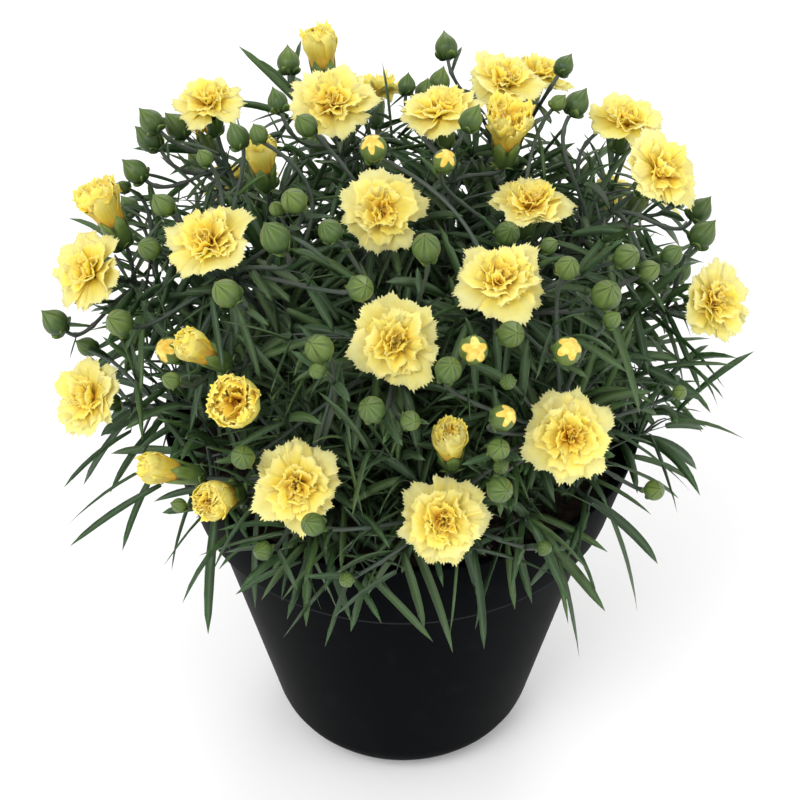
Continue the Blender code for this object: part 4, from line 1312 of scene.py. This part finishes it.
# %% Reading a model and joining its copies
def model_of(obj, coat):
    """A finished model as plain arrays. coat gives the map, across and along, from its points."""
    mesh = obj.data
    points = np.empty(len(mesh.vertices) * 3)
    mesh.vertices.foreach_get("co", points)
    corners = np.empty(len(mesh.loops), np.int32)
    mesh.loops.foreach_get("vertex_index", corners)
    sizes = np.empty(len(mesh.polygons), np.int32)
    mesh.polygons.foreach_get("loop_total", sizes)
    points = points.reshape(-1, 3)
    model = {"points": points, "corners": corners, "sizes": sizes, "map": coat(points)}
    bpy.data.objects.remove(obj)
    return model


def copy_of(model, points, finish, tone):
    return {**model, "points": points, "finish": finish, "tone": tone}


def starts_of(counts):
    """Where each run begins when runs of these lengths stand in one row."""
    return np.concatenate([[0], np.cumsum(counts)[:-1]]).astype(np.int32)


def joined(name, copies, finishes):
    """One object from many copies, with their maps and tones."""
    counts = [len(c["points"]) for c in copies]
    points = np.vstack([c["points"] for c in copies])
    corners = np.concatenate([c["corners"] + first for c, first in zip(copies, starts_of(counts))])
    sizes = np.concatenate([c["sizes"] for c in copies])
    coats = np.vstack([c["map"] for c in copies])
    tones = np.concatenate([np.full(n, c["tone"]) for c, n in zip(copies, counts)])
    slots = np.concatenate([np.full(len(c["sizes"]), c["finish"]) for c in copies])
    mesh = bpy.data.meshes.new(name)
    mesh.vertices.add(len(points))
    mesh.vertices.foreach_set("co", points.astype(np.float32).ravel())
    mesh.loops.add(len(corners))
    mesh.loops.foreach_set("vertex_index", corners.astype(np.int32))
    mesh.polygons.add(len(sizes))
    mesh.polygons.foreach_set("loop_start", starts_of(sizes))
    mesh.polygons.foreach_set("material_index", slots)
    mesh.update(calc_edges=True)
    mesh.uv_layers.new(name="blade").data.foreach_set("uv", coats[corners].astype(np.float32).ravel())
    mesh.attributes.new("tone", "FLOAT", "POINT").data.foreach_set("value", tones.astype(np.float32))
    mesh.validate()
    mesh.shade_smooth()
    for material in finishes:
        mesh.materials.append(material)
    obj = bpy.data.objects.new(name, mesh)
    bpy.context.scene.collection.objects.link(obj)
    return obj


# %% [markdown]
# ## The soil
#
# The soil is a low mound of peat inside the pot, and the stems stand in it. It is raised like
# the pot, then its top is broken up by a Displace modifier, and crumbs and perlite are strewn over it,
# each a lumpy copy of one small stone.

# %% The peat bed
PEAT_RING = 96
PEAT_ROWS = 26  # rings from the edge of the peat's top to near its middle


def make_peat():
    inset = WALL + SOIL_GAP
    share = (SOIL_Z - BAND_LOW_Z) / (RIM_Z - BAND_LOW_Z)
    top = BODY_TOP_RADIUS - inset + (RIM_RADIUS - WALL * 1.4 - BODY_TOP_RADIUS + WALL) * share
    profile = foot_points(inset, 5) + [(BODY_TOP_RADIUS - inset, BAND_LOW_Z - 2 * WALL)]
    profile += [(top - 1.2 * MM, SOIL_Z - 2.5 * MM)]
    for step in range(PEAT_ROWS + 1):
        profile += [(top - 4 * MM - (top - 8 * MM) * step / PEAT_ROWS, SOIL_Z - 0.5 * MM)]
    soil = raised("soil_fine", profile, PEAT_RING)
    bpy.ops.object.mode_set(mode="OBJECT")
    return finish_by_hand(soil, PEAT)


def roughen_top(soil):
    """Lumps over the soil's top, left out near its edge."""
    group = soil.vertex_groups.new(name="top")
    top = [v.index for v in soil.data.vertices if v.co.z > SOIL_Z - 2 * MM]
    group.add(top, 1.0, "REPLACE")
    lumps = bpy.data.textures.new("lumps", "CLOUDS")
    lumps.noise_scale = 0.006
    lumps.noise_depth = 3
    apply_modifier(
        soil, "DISPLACE", texture=lumps, strength=4.5 * MM, mid_level=0.75, direction="Z",
        vertex_group="top", texture_coords="LOCAL",
    )
    return soil


soil = roughen_top(make_peat())
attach(soil, "root")
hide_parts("soil")
print("soil", len(soil.data.polygons), "faces, top at", round(max(v.co.z for v in soil.data.vertices), 4))

# %% Crumbs and perlite strewn over it
FULL_TURN = 6.3  # in radians, and a little over
STREWN_RADIUS = 110 * MM


def make_stone():
    stone = start_from(bpy.ops.mesh.primitive_ico_sphere_add, "stone", subdivisions=2, radius=1)
    bpy.ops.object.mode_set(mode="EDIT")
    bpy.ops.mesh.select_all(action="SELECT")
    bpy.ops.transform.vertex_random(offset=0.22, seed=4)
    bpy.ops.transform.resize(value=(1.25, 1.0, 0.8))
    bpy.ops.object.mode_set(mode="OBJECT")
    return model_of(stone, lambda points: points[:, :2])


def strew(name, model, count, sizes, seed, finish):
    """Copies of a stone at random places and turns on the soil."""
    rng = random.Random(seed)
    copies = []
    for _ in range(count):
        out = STREWN_RADIUS * math.sqrt(rng.random())
        turn = rng.uniform(0, 2 * math.pi)
        size = rng.uniform(*sizes) * MM
        angle = rng.uniform(0, FULL_TURN)
        spin = np.array(Matrix.Rotation(angle, 3, Vector((rng.random(), rng.random(), 1)).normalized()))
        spot = np.array((out * math.cos(turn), out * math.sin(turn), SOIL_Z - 1.2 * MM + 0.35 * size))
        copies.append(copy_of(model, model["points"] * size @ spin.T + spot, 0, rng.random()))
    obj = joined(name, copies, [finish])
    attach(obj, "root")
    return obj


STONE = make_stone()
crumbs = strew("peat_crumbs", STONE, 420, (0.8, 2.4), 3, PEAT)
perlite = strew("perlite_grains", STONE, 46, (0.8, 1.7), 8, PERLITE)
print("crumbs", len(crumbs.data.polygons), "and perlite", len(perlite.data.polygons), "faces")

# %% [markdown]
# ## One leaf
#
# The leaf is raised row by row from a four-sided foot: two edges, a middle line above and one below. The
# rows are scaled to the outline, widest a third of the way along and drawn out to a point. Then it is laid
# down and pressed flat, with its middle lower than its edges, which is the channel. Four sides are enough
# for a blade that is laid thousands of times. Its length and width are 1, so that each copy can be laid at
# its own size.

# %% The leaf, and how it is laid
LEAF_OUTLINE = (0.62, 0.84, 0.96, 1.0, 0.98, 0.90, 0.68, 0.0)
CHANNEL = 0.20  # depth of the channel beside the width
LEAF_THICK = 0.09  # beside the width
LEAF_POINT = 0.04  # the least width that a row is scaled to, before the point is merged
AS_LEAF, AS_STEM, AS_BUD = range(3)  # places in a spray's list of finishes


def make_leaf(rows):
    """A blade one unit long and wide: its outline at the foot, raised row by row and laid down."""
    width = LEAF_OUTLINE[0]
    leaf = start_from(
        bpy.ops.mesh.primitive_circle_add, "leaf", vertices=4, radius=0.5 * width, fill_type="NGON"
    )
    select_where(leaf, lambda co: True)
    places = np.linspace(0, 1, len(LEAF_OUTLINE))
    for row in range(1, rows + 1):
        next_width = max(float(np.interp(row / rows, places, LEAF_OUTLINE)), LEAF_POINT)
        raise_ring(1 / rows, next_width / width, row / rows)
        width = next_width
    bpy.ops.mesh.merge(type="CENTER")
    bpy.ops.mesh.select_all(action="SELECT")
    bpy.ops.mesh.remove_doubles(threshold=0.0001)
    bpy.ops.transform.rotate(value=math.pi / 2, orient_axis="X", center_override=(0, 0, 0))
    bpy.ops.object.mode_set(mode="OBJECT")
    return leaf


def channelled(points):
    """Presses the blade flat, with its middle pushed down into a channel."""
    across, along = points[:, 0], points[:, 1]
    upper = points[:, 2] > 0.001
    below = points[:, 2] < -0.001
    depth = CHANNEL * np.sin(np.pi * np.clip(along * 1.1 + 0.1, 0, 1)) ** 0.5
    lift = np.where(upper, -depth * 0.8, np.where(below, -depth - LEAF_THICK, 0.0))
    return np.column_stack([across, along, lift])


def blade(rows):
    """The finished model of a blade with this many rows, lying along +Y."""
    model = model_of(make_leaf(rows), lambda points: points[:, :2])
    points = model["points"]
    if points[:, 1].mean() < 0:
        points = points * (-1, -1, 1)
    coat = np.column_stack([points[:, 0] + 0.5, points[:, 1]])
    return {**model, "points": channelled(points), "map": coat}


LONG_BLADE = blade(11)
SHORT_BLADE = blade(6)


def frames_along(controls, shares, level):
    """Points and the across, along and up directions of a curve at each share."""
    shares = np.clip(shares, 0, 1)
    middles = bezier(controls, shares)
    along = bezier(controls, shares + 0.01) - bezier(controls, shares - 0.01)
    along /= np.linalg.norm(along, axis=1)[:, None]
    across = level - along * (along @ level)[:, None]
    across /= np.linalg.norm(across, axis=1)[:, None]
    return middles, across, along, np.cross(across, along)


def lay_leaf(model, leaf, rng, finish=AS_LEAF, tone=None):
    """A copy of the blade bent along its curve, at its own width, a little twisted."""
    points = model["points"]
    middles, across, _, up = frames_along(leaf["controls"], points[:, 1], leaf["level"])
    twist = rng.uniform(-0.7, 0.7) * points[:, 1]
    side, lift = points[:, 0] * leaf["broad"], points[:, 2] * leaf["broad"]
    level_side = side * np.cos(twist) - lift * np.sin(twist)
    level_lift = side * np.sin(twist) + lift * np.cos(twist)
    laid = middles + across * level_side[:, None] + up * level_lift[:, None]
    return copy_of(model, laid, finish, rng.uniform(0.15, 0.85) if tone is None else tone)


print("leaf", len(LONG_BLADE["sizes"]), "and", len(SHORT_BLADE["sizes"]), "faces")

# %% [markdown]
# ## One bud
#
# A closed bud is an egg with five sepals, so it starts as a sphere with six meridians to a sepal. Its
# rings are scaled to the outline and moved to even heights, and the meridians at the seams are drawn in by
# three steps, each nearer the tip. The calyx of an open bloom is raised as a cup with four corners to a
# sepal: five pointed teeth stand round a mouth with a wall inside, and the seams between them are pulled
# down.

# %% Bud and calyx
BUD_OUTLINE = (0.0, 0.50, 0.78, 0.93, 1.0, 1.0, 0.94, 0.82, 0.62, 0.37, 0.15, 0.0)
BUD_SIDES = 30
SEAM_PINCH = 0.94  # how far a seam is drawn in at each of three steps
SEPAL_ANGLE = 72
CALYX_SIDES = 20
CALYX_PROFILE = (
    (0.42, -1.0), (0.62, -0.86), (0.80, -0.5), (0.92, 0.0), (1.0, 0.5), (1.06, 0.96),
    (1.0, 0.96), (0.84, 0.3), (0.6, -0.4),
)


def seam_map(points):
    """Across: 0 at a seam and 1 in the middle of a sepal. Along: 0 at the foot and 1 at the tip."""
    turn = np.degrees(np.arctan2(points[:, 1], points[:, 0])) % SEPAL_ANGLE
    return np.column_stack([1 - np.abs(turn / (SEPAL_ANGLE / 2) - 1), (points[:, 2] + 1) / 2])


def off_seam(co):
    """Degrees from the nearest seam, up to 36 in the middle of a sepal."""
    turn = math.degrees(math.atan2(co.y, co.x)) % SEPAL_ANGLE
    return min(turn, SEPAL_ANGLE - turn)


def make_bud():
    rings = len(BUD_OUTLINE) - 1
    bud = start_from(
        bpy.ops.mesh.primitive_uv_sphere_add, "bud", segments=BUD_SIDES, ring_count=rings, radius=1
    )
    for number in range(1, rings):
        old = -math.cos(math.pi * number / rings)
        new = -1 + 2 * number / rings
        select_where(bud, lambda co: abs(co.z - old) < 0.004 and co.xy.length > 0.01)
        factor = BUD_OUTLINE[number] / math.sin(math.pi * number / rings)
        bpy.ops.transform.resize(value=(factor, factor, 1), center_override=(0, 0, old))
        bpy.ops.transform.translate(value=(0, 0, (new - old) * 0.999))
    for foot in (-0.1, 0.2, 0.5):
        select_where(bud, lambda co: off_seam(co) < 2 and co.z > foot and co.xy.length > 0.05)
        bpy.ops.transform.resize(value=(SEAM_PINCH, SEAM_PINCH, 1), center_override=(0, 0, 0))
    bpy.ops.object.mode_set(mode="OBJECT")
    return model_of(bud, seam_map)


def make_calyx():
    """Height from -1 at the foot to 1 at the mouth, with the teeth above it."""
    cup = raised("calyx", CALYX_PROFILE, CALYX_SIDES)
    select_where(cup, lambda co: co.z > 0.9 and off_seam(co) > 34)
    bpy.ops.transform.translate(value=(0, 0, 0.40))
    bpy.ops.transform.resize(value=(1.08, 1.08, 1), center_override=(0, 0, 0))
    select_where(cup, lambda co: co.z > 0.9 and off_seam(co) < 2)
    bpy.ops.transform.translate(value=(0, 0, -0.28))
    bpy.ops.mesh.select_all(action="SELECT")
    bpy.ops.mesh.normals_make_consistent(inside=False)
    bpy.ops.object.mode_set(mode="OBJECT")
    return model_of(cup, seam_map)


CLOSED_BUD = make_bud()
OPEN_CALYX = make_calyx()
print("bud", len(CLOSED_BUD["sizes"]), "faces, calyx", len(OPEN_CALYX["sizes"]), "faces")

# %% Standing heads on their stalks
def basis_of(axis, spin):
    """Two directions square to the axis and the axis, as columns, turned about it."""
    first = spoke(*square_to(axis, (0.31, 0.2, 0.93)), spin)
    return np.column_stack([first, np.cross(axis, first), axis])


def stand(model, base, axis, radius, length, spin, tone):
    """A copy of a bud or a calyx, its foot on the base."""
    sized = model["points"] * (radius, radius, length / 2) + (0, 0, length / 2)
    return copy_of(model, sized @ basis_of(axis, spin).T + base, AS_BUD, tone)


def bracts(base, axis, radius, height, rng):
    """Two crossed pairs of small pointed scales that clasp the foot of a calyx."""
    side, other, _ = basis_of(axis, rng.uniform(0, FULL_TURN)).T
    copies = []
    for number in range(4):
        outward = spoke(side, other, number * math.pi / 2)
        reach = height * (0.62 if number % 2 else 0.5) * rng.uniform(0.9, 1.15)
        belly = base + outward * 1.15 * radius + axis * reach * 0.35
        tip = base + outward * (1.08 * radius + 0.5 * MM) + axis * reach
        scale = {
            "controls": (base + outward * 0.35 * radius, belly, tip),
            "level": -np.cross(outward, axis),
            "broad": radius * 1.15,
        }
        copies.append(lay_leaf(SHORT_BLADE, scale, random.Random(number), AS_BUD, rng.uniform(0.2, 0.7)))
    return copies


# %% [markdown]
# ## Stems
#
# A stem is a round tube that swells at each joint. It is drawn as a curve with a round bevel, thicker at
# the points nearest a joint, and then converted to a mesh.

# %% Stems from curves
TUFT_STEM_RADIUS = 0.85 * MM  # at its foot, from where it thins out


def stem_model(strands):
    """All the tubes of a spray. strands lists (points, radii)."""
    curve = bpy.data.curves.new("strands", "CURVE")
    curve.dimensions = "3D"
    curve.bevel_depth = 1.0
    curve.bevel_resolution = 1
    curve.use_fill_caps = True
    for points, radii in strands:
        spline = curve.splines.new("POLY")
        spline.points.add(len(points) - 1)
        spline.points.foreach_set("co", np.column_stack([points, np.ones(len(points))]).ravel())
        spline.points.foreach_set("radius", np.asarray(radii, float))
    obj = bpy.data.objects.new("strands", curve)
    bpy.context.scene.collection.objects.link(obj)
    bpy.ops.object.select_all(action="DESELECT")
    obj.select_set(True)
    bpy.context.view_layer.objects.active = obj
    bpy.ops.object.convert(target="MESH")
    return model_of(bpy.context.active_object, lambda points: np.full((len(points), 2), 0.5))


def swollen(controls, radius, joints, steps, taper=0.0):
    """Points along a stem and its radius at each, swollen at the joints."""
    shares = np.linspace(0, 1, steps)
    points = bezier(controls, shares)
    length = np.linalg.norm(np.diff(points, axis=0), axis=1).sum()
    radii = np.full(steps, radius) * (1 - taper * shares)
    for joint in joints:
        radii += 0.45 * radius * np.exp(-(((shares - joint) * length) / (1.6 * MM)) ** 2)
    return points, radii


def strands_of(stem):
    """The main stem, its branches, its shoots and its tufts."""
    points, radii = swollen(stem["controls"], STEM_RADIUS * 0.92, STEM_NODES + PAIR_PLACES, 70, 0.12)
    foot = np.array([points[0] - (0, 0, HOLE_DEPTH - SEAT_GAP)])
    strands = [(np.vstack([foot, points]), np.append(radii[0], radii))]
    for head in stem["buds"] + stem["openings"]:
        strands.append(swollen(head["controls"], BRANCH_RADIUS, STALK_PLACES, 24))
    for shoot in stem["shoots"]:
        strands.append(swollen(shoot["controls"], BRANCH_RADIUS, SHOOT_NODES, 30))
    for tuft in stem["tufts"]:
        strands.append(swollen(tuft["controls"], TUFT_STEM_RADIUS, (), 6, 0.8))
    return strands


# %% [markdown]
# ## The leafy sprays
#
# Each spray is its stems, its leaves, its closed buds and the green calyxes under its heads.

# %% Making the sprays
FULL_CALYX = 0.74  # radius of a half open head's calyx beside the head's own
TALL_CALYX = 1.12  # height of a half open head's calyx beside a bloom's


def make_spray(number, stem, bloom):
    """One spray: tubes, leaves, buds and calyxes. A parted bud is marked by a tone over 1.5."""
    rng = random.Random(number)
    tubes = stem_model(strands_of(stem))
    copies = [copy_of(tubes, tubes["points"], AS_STEM, 0.5)]
    for leaf in stem["leaves"] + [leaf for shoot in stem["shoots"] for leaf in shoot["leaves"]]:
        copies.append(lay_leaf(LONG_BLADE, leaf, rng))
    for leaf in stem["fine"] + [leaf for tuft in stem["tufts"] for leaf in tuft["leaves"]]:
        copies.append(lay_leaf(SHORT_BLADE, leaf, rng))
    for bud in stem["buds"]:
        base, axis, radius = bud["controls"][-1], bud["axis"], bud["radius"]
        length = 2.05 * radius * BUD_STRETCH
        tone = rng.uniform(1.55, 1.75) if bud["parted"] else rng.random()
        spin = rng.uniform(0, FULL_TURN)
        copies.append(stand(CLOSED_BUD, base, axis, radius, length, spin, tone))
        copies += bracts(base, axis, radius * 0.80, length * 0.5, rng)
    for head in [bloom] + stem["openings"]:
        base, axis = head["base"], head["axis"]
        wide = CALYX_RADIUS if head is bloom else FULL_CALYX * head["radius"]
        tall = CALYX_LENGTH if head is bloom else TALL_CALYX * CALYX_LENGTH
        spin, tone = rng.uniform(0, FULL_TURN), rng.random()
        copies.append(stand(OPEN_CALYX, base, axis, wide, tall, spin, tone))
        copies += bracts(base, axis, wide * 0.85, CALYX_LENGTH * 0.5, rng)
    name = f"spray_{number:02d}"
    spray = joined(name + "_fine", copies, [LEAF, STEM, BUD])
    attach(spray, "root")
    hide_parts(name)
    return spray


sprays = [make_spray(number, *pair) for number, pair in enumerate(zip(stems, blooms), start=1)]
print("sprays", sum(len(s.data.polygons) for s in sprays), "faces")

# %% [markdown]
# ## One petal
#
# A petal is a fan with a narrow claw and a toothed edge. It starts as a flat grid, one unit long and two
# wide. The far edge is cut once more, every second point of it is pushed out for a tooth, and a Solidify
# modifier gives the petal its thickness. The fan, the lean away from the axis and the ruffles are put in
# as each copy is laid, since no two are alike.

# %% The petal, and how it is laid
PETAL_THICK = 0.28 * MM


def make_petal(columns, rows, tooth):
    petal = start_from(
        bpy.ops.mesh.primitive_grid_add, "petal", x_subdivisions=columns, y_subdivisions=rows, size=2
    )
    bpy.ops.object.mode_set(mode="EDIT")
    bpy.ops.mesh.select_all(action="SELECT")
    bpy.ops.transform.translate(value=(0, 1, 0))
    bpy.ops.transform.resize(value=(1, 0.5, 1), center_override=(0, 0, 0))
    select_where(petal, lambda co: co.y > 0.999)
    bpy.ops.mesh.subdivide(number_cuts=1)
    select_where(petal, lambda co: co.y > 0.999 and round((co.x + 1) * columns) % 2 == 1)
    bpy.ops.transform.translate(value=(0, tooth, 0))
    select_where(petal, lambda co: co.y < 0.001)
    bpy.ops.transform.resize(value=(0.9, 1, 1), center_override=(0, 0, 0))
    apply_modifier(petal, "SOLIDIFY", thickness=1.0, offset=0)
    return model_of(petal, lambda points: np.column_stack([points[:, 0] / 2 + 0.5, points[:, 1]]))


BROAD_PETAL = make_petal(24, 6, 0.055)
INNER_PETAL = make_petal(14, 5, 0.075)


def leaning(lean, curl, reach, mouth, rise):
    """The line that a petal's middle follows, as steps, distance out, height and angle from the axis."""
    steps = np.linspace(0, 1.2, 49)
    angle = lean * np.clip(steps / 0.42, 0, 1) ** 1.3
    angle = angle + curl * np.clip((steps - 0.45) / 0.55, 0, 1.3) ** 1.4
    out = mouth + np.concatenate([[0], np.cumsum(np.sin(angle[:-1]))]) * reach * 0.025
    height = rise + np.concatenate([[0], np.cumsum(np.cos(angle[:-1]))]) * reach * 0.025
    return steps, out, height, angle


def ruffled(u, v, ruffle, fold, rng):
    """How far each point of a petal is lifted off its blade."""
    phase = [rng.uniform(0, FULL_TURN) for _ in range(4)]
    wave = np.sin(u * 3.1 + phase[0]) + 0.6 * np.sin(u * 6.3 + phase[1] + v * 2)
    wave = wave + 0.2 * np.sin(u * 14 + phase[2])
    pleats = 0.12 * MM * v * np.sin(u * 24 + phase[3])
    return ruffle * np.clip(v, 0, 1.1) ** 1.7 * wave + fold * np.abs(u) * v + pleats


def lay_petal(
    model, rng, turn, reach, lean, fan, ruffle, rise, wrap, curl, mouth,
    fold=0.0, claw=0.26, tuck=0.0, foot=0.0,
):
    """A copy fanned out, leant away from the axis by degrees, ruffled and turned about the axis."""
    u, v, w = model["points"].T
    narrow = claw + (1 - claw) * np.clip(v / 0.5, 0, 1) ** 0.8
    spread = u * math.radians(fan) * narrow
    edge = 0.07 * np.sin(u * 4.3 + rng.uniform(0, 6)) + 0.03 * np.sin(u * 13 + rng.uniform(0, 6))
    tooth = np.maximum(v - 1, 0) * (0.9 + 0.7 * np.sin(u * 21 + rng.uniform(0, 6)))
    far = (np.minimum(v, 1) + tooth) * reach * (1 + (edge - 0.15 * u * u) * v**3)
    ahead, aside = far * np.cos(spread), far * np.sin(spread) + u * foot * np.clip(1 - v, 0, 1)
    steps, out, height, angles = leaning(math.radians(lean), math.radians(curl), reach, mouth, rise)
    place = ahead / reach
    angle = np.interp(place, steps, angles)
    lift = ruffled(u, v, ruffle, fold, rng) + w * PETAL_THICK + tuck * u * np.clip(v, 0, 1)
    rho = np.interp(place, steps, out) - np.cos(angle) * lift
    phi = aside / np.maximum(np.interp(place, steps, out), 2.5 * MM)
    x = rho * (1 - wrap + wrap * np.cos(phi))
    y = (1 - wrap) * aside + wrap * rho * np.sin(phi)
    z = np.interp(place, steps, height) + np.sin(angle) * lift
    cosine, sine = math.cos(turn), math.sin(turn)
    return np.column_stack([x * cosine - y * sine, x * sine + y * cosine, z])


print("petal", len(BROAD_PETAL["sizes"]), "and", len(INNER_PETAL["sizes"]), "faces")

# %% [markdown]
# ## The blooms
#
# A double carnation has about thirty petals in whorls. The outer five lie nearly flat, each whorl above
# them is shorter, stands steeper and is more crumpled, and the innermost ones are small crushed ribbons.
# Half open heads have five whorls that are still furled, in a wider calyx: the first two close over at the
# top, and the others stand crumpled inside them.

# %% Making the blooms
# For each whorl: petals, reach beside the radius, lean and its scatter, fan, ruffle in mm, rise in mm,
# wrap, tone
WHORLS = (
    (5, 1.12, 90, 12, 45, 1.2, 0.0, 0.0, 0.05),
    (5, 0.98, 68, 17, 44, 1.7, 0.8, 0.1, 0.20),
    (6, 0.80, 48, 20, 43, 2.0, 1.4, 0.3, 0.40),
    (5, 0.68, 30, 20, 42, 2.1, 2.0, 0.5, 0.62),
    (5, 0.55, 16, 14, 36, 1.7, 2.2, 0.7, 0.85),
    (4, 0.44, 6, 10, 32, 1.3, 2.6, 0.8, 1.00),
)


def make_bloom(number, head):
    rng = random.Random(100 + number)
    radius = head["radius"]
    copies = []
    spin = rng.uniform(0, FULL_TURN)
    fullness = rng.uniform(0.85, 1.15)
    for layer, (count, reach, lean, scatter, fan, ruffle, rise, wrap, tone) in enumerate(WHORLS):
        spin += math.pi / count + rng.uniform(-0.25, 0.25)
        model = BROAD_PETAL if layer < 2 else INNER_PETAL
        for petal in range(count):
            points = lay_petal(
                model, rng,
                turn=spin + 2 * math.pi * petal / count + rng.uniform(-0.28, 0.28),
                reach=(radius - 2.4 * MM) * reach * rng.uniform(0.86, 1.06),
                lean=lean + rng.uniform(-scatter, scatter),
                fan=fan * rng.uniform(0.70, 1.12),
                ruffle=ruffle * MM * fullness * rng.uniform(0.6, 1.4),
                rise=rise * MM + rng.uniform(0, 0.8) * MM,
                wrap=wrap,
                curl=rng.uniform(-14, 24) if layer < 2 else rng.uniform(-35, 40),
                mouth=(2.9 - 0.5 * layer) * MM,
                fold=rng.uniform(-3.0, 3.0) * MM,
            )
            copies.append(copy_of(model, points, 0, min(max(tone + rng.uniform(-0.15, 0.15), 0), 1)))
    return stand_petals(f"bloom_{number:02d}", head, copies)


def stand_petals(name, head, copies):
    """Joins the petals of one head and stands them in its calyx."""
    basis = basis_of(head["axis"], 0)
    base = head["base"] + head["axis"] * (CALYX_LENGTH - 1.0 * MM)
    for copy in copies:
        copy["points"] = copy["points"] @ basis.T + base
    obj = joined(name + "_fine", copies, [PETAL])
    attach(obj, "root")
    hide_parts(name)
    return obj


open_blooms = [make_bloom(number, bloom) for number, bloom in enumerate(blooms, start=1)]
print("blooms", sum(len(b.data.polygons) for b in open_blooms), "faces")

# %% Making the half open heads
# For each whorl: petals, reach beside the head's height, lean, curl, their scatter, fan, mouth beside the
# radius, ruffle in mm, wrap, tone
FURLED = (
    (5, 1.05, 20, -90, 3, 34, 0.68, 0.3, 0.95, 0.42),
    (5, 1.03, 18, -74, 4, 32, 0.56, 0.6, 0.95, 0.56),
    (6, 1.02, 13, -24, 6, 36, 0.32, 1.2, 0.80, 0.68),
    (6, 1.00, 8, -8, 7, 36, 0.20, 1.4, 0.75, 0.82),
    (5, 0.97, 3, 0, 7, 34, 0.08, 1.4, 0.75, 0.95),
)


def make_opening(number, head):
    rng = random.Random(200 + number)
    radius, loose = head["radius"], head["loose"]
    copies = []
    for count, reach, lean, curl, scatter, fan, mouth, ruffle, wrap, tone in FURLED:
        spin = rng.uniform(0, FULL_TURN)
        for petal in range(count):
            points = lay_petal(
                INNER_PETAL, rng,
                turn=spin + 2 * math.pi * petal / count + rng.uniform(-0.1, 0.1),
                reach=radius * 2.25 * reach * rng.uniform(0.92, 1.05),
                lean=lean + rng.uniform(-scatter, scatter) + loose * 0.35,
                fan=fan * rng.uniform(0.9, 1.1),
                ruffle=ruffle * MM * (1 + loose / 20),
                rise=0.0,
                wrap=wrap,
                claw=0.75,
                tuck=0.6 * MM,
                foot=0.80 * mouth * radius,
                curl=curl + rng.uniform(-3, 3) * scatter + loose * rng.uniform(1.2, 2.2),
                mouth=mouth * radius,
            )
            copies.append(copy_of(INNER_PETAL, points, 0, tone + rng.uniform(-0.1, 0.1)))
    return stand_petals(f"opening_{number:02d}", head, copies)


half_open = [head for stem in stems for head in stem["openings"]]
openings = [make_opening(number, head) for number, head in enumerate(half_open, start=1)]
print("half open heads", sum(len(o.data.polygons) for o in openings), "faces")

# %% [markdown]
# ## Light and floor
#
# The plant stands on a plain white floor in an even, soft light: one large lamp in front and to the left
# gives the petals their shape, a weaker one fills from the right, and the surroundings are white.

# %% Light, floor and surroundings
def soft_lamp(name, place, aim, size, power):
    lamp = bpy.data.lights.new(name, "AREA")
    lamp.shape = "DISK"
    lamp.size = size
    lamp.energy = power
    obj = bpy.data.objects.new(name, lamp)
    obj.location = place
    obj.rotation_euler = (Vector(aim) - Vector(place)).to_track_quat("-Z", "Y").to_euler()
    bpy.context.scene.collection.objects.link(obj)


soft_lamp("Key", (-0.9, -1.3, 1.9), (0, 0, 0.3), 1.2, 24)
soft_lamp("Fill", (1.4, -0.9, 1.2), (0, 0, 0.25), 1.4, 8)
soft_lamp("Back", (0.3, 1.5, 1.5), (0, 0, 0.3), 1.2, 9)

floor = start_from(bpy.ops.mesh.primitive_plane_add, "floor", size=14)
floor_finish, _, floor_shader = new_finish("white floor", 0.9)
floor_shader.inputs["Base Color"].default_value = (0.93, 0.93, 0.93, 1)
floor_shader.inputs["Specular IOR Level"].default_value = 0.1
floor.data.materials.append(floor_finish)

world = bpy.data.worlds.new("surroundings")
world.use_nodes = True
world.node_tree.nodes["Background"].inputs["Color"].default_value = (1, 1, 1, 1)
world.node_tree.nodes["Background"].inputs["Strength"].default_value = 0.92
bpy.context.scene.world = world
bpy.context.scene.view_settings.view_transform = "Standard"
bpy.context.scene.view_settings.look = "None"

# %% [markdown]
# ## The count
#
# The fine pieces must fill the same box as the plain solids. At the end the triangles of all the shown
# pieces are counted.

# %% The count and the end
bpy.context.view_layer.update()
shown = [obj for obj in bpy.data.objects if obj.type == "MESH" and not obj.hide_render]
print(sum(len(face.vertices) - 2 for obj in shown for face in obj.data.polygons), "triangles")
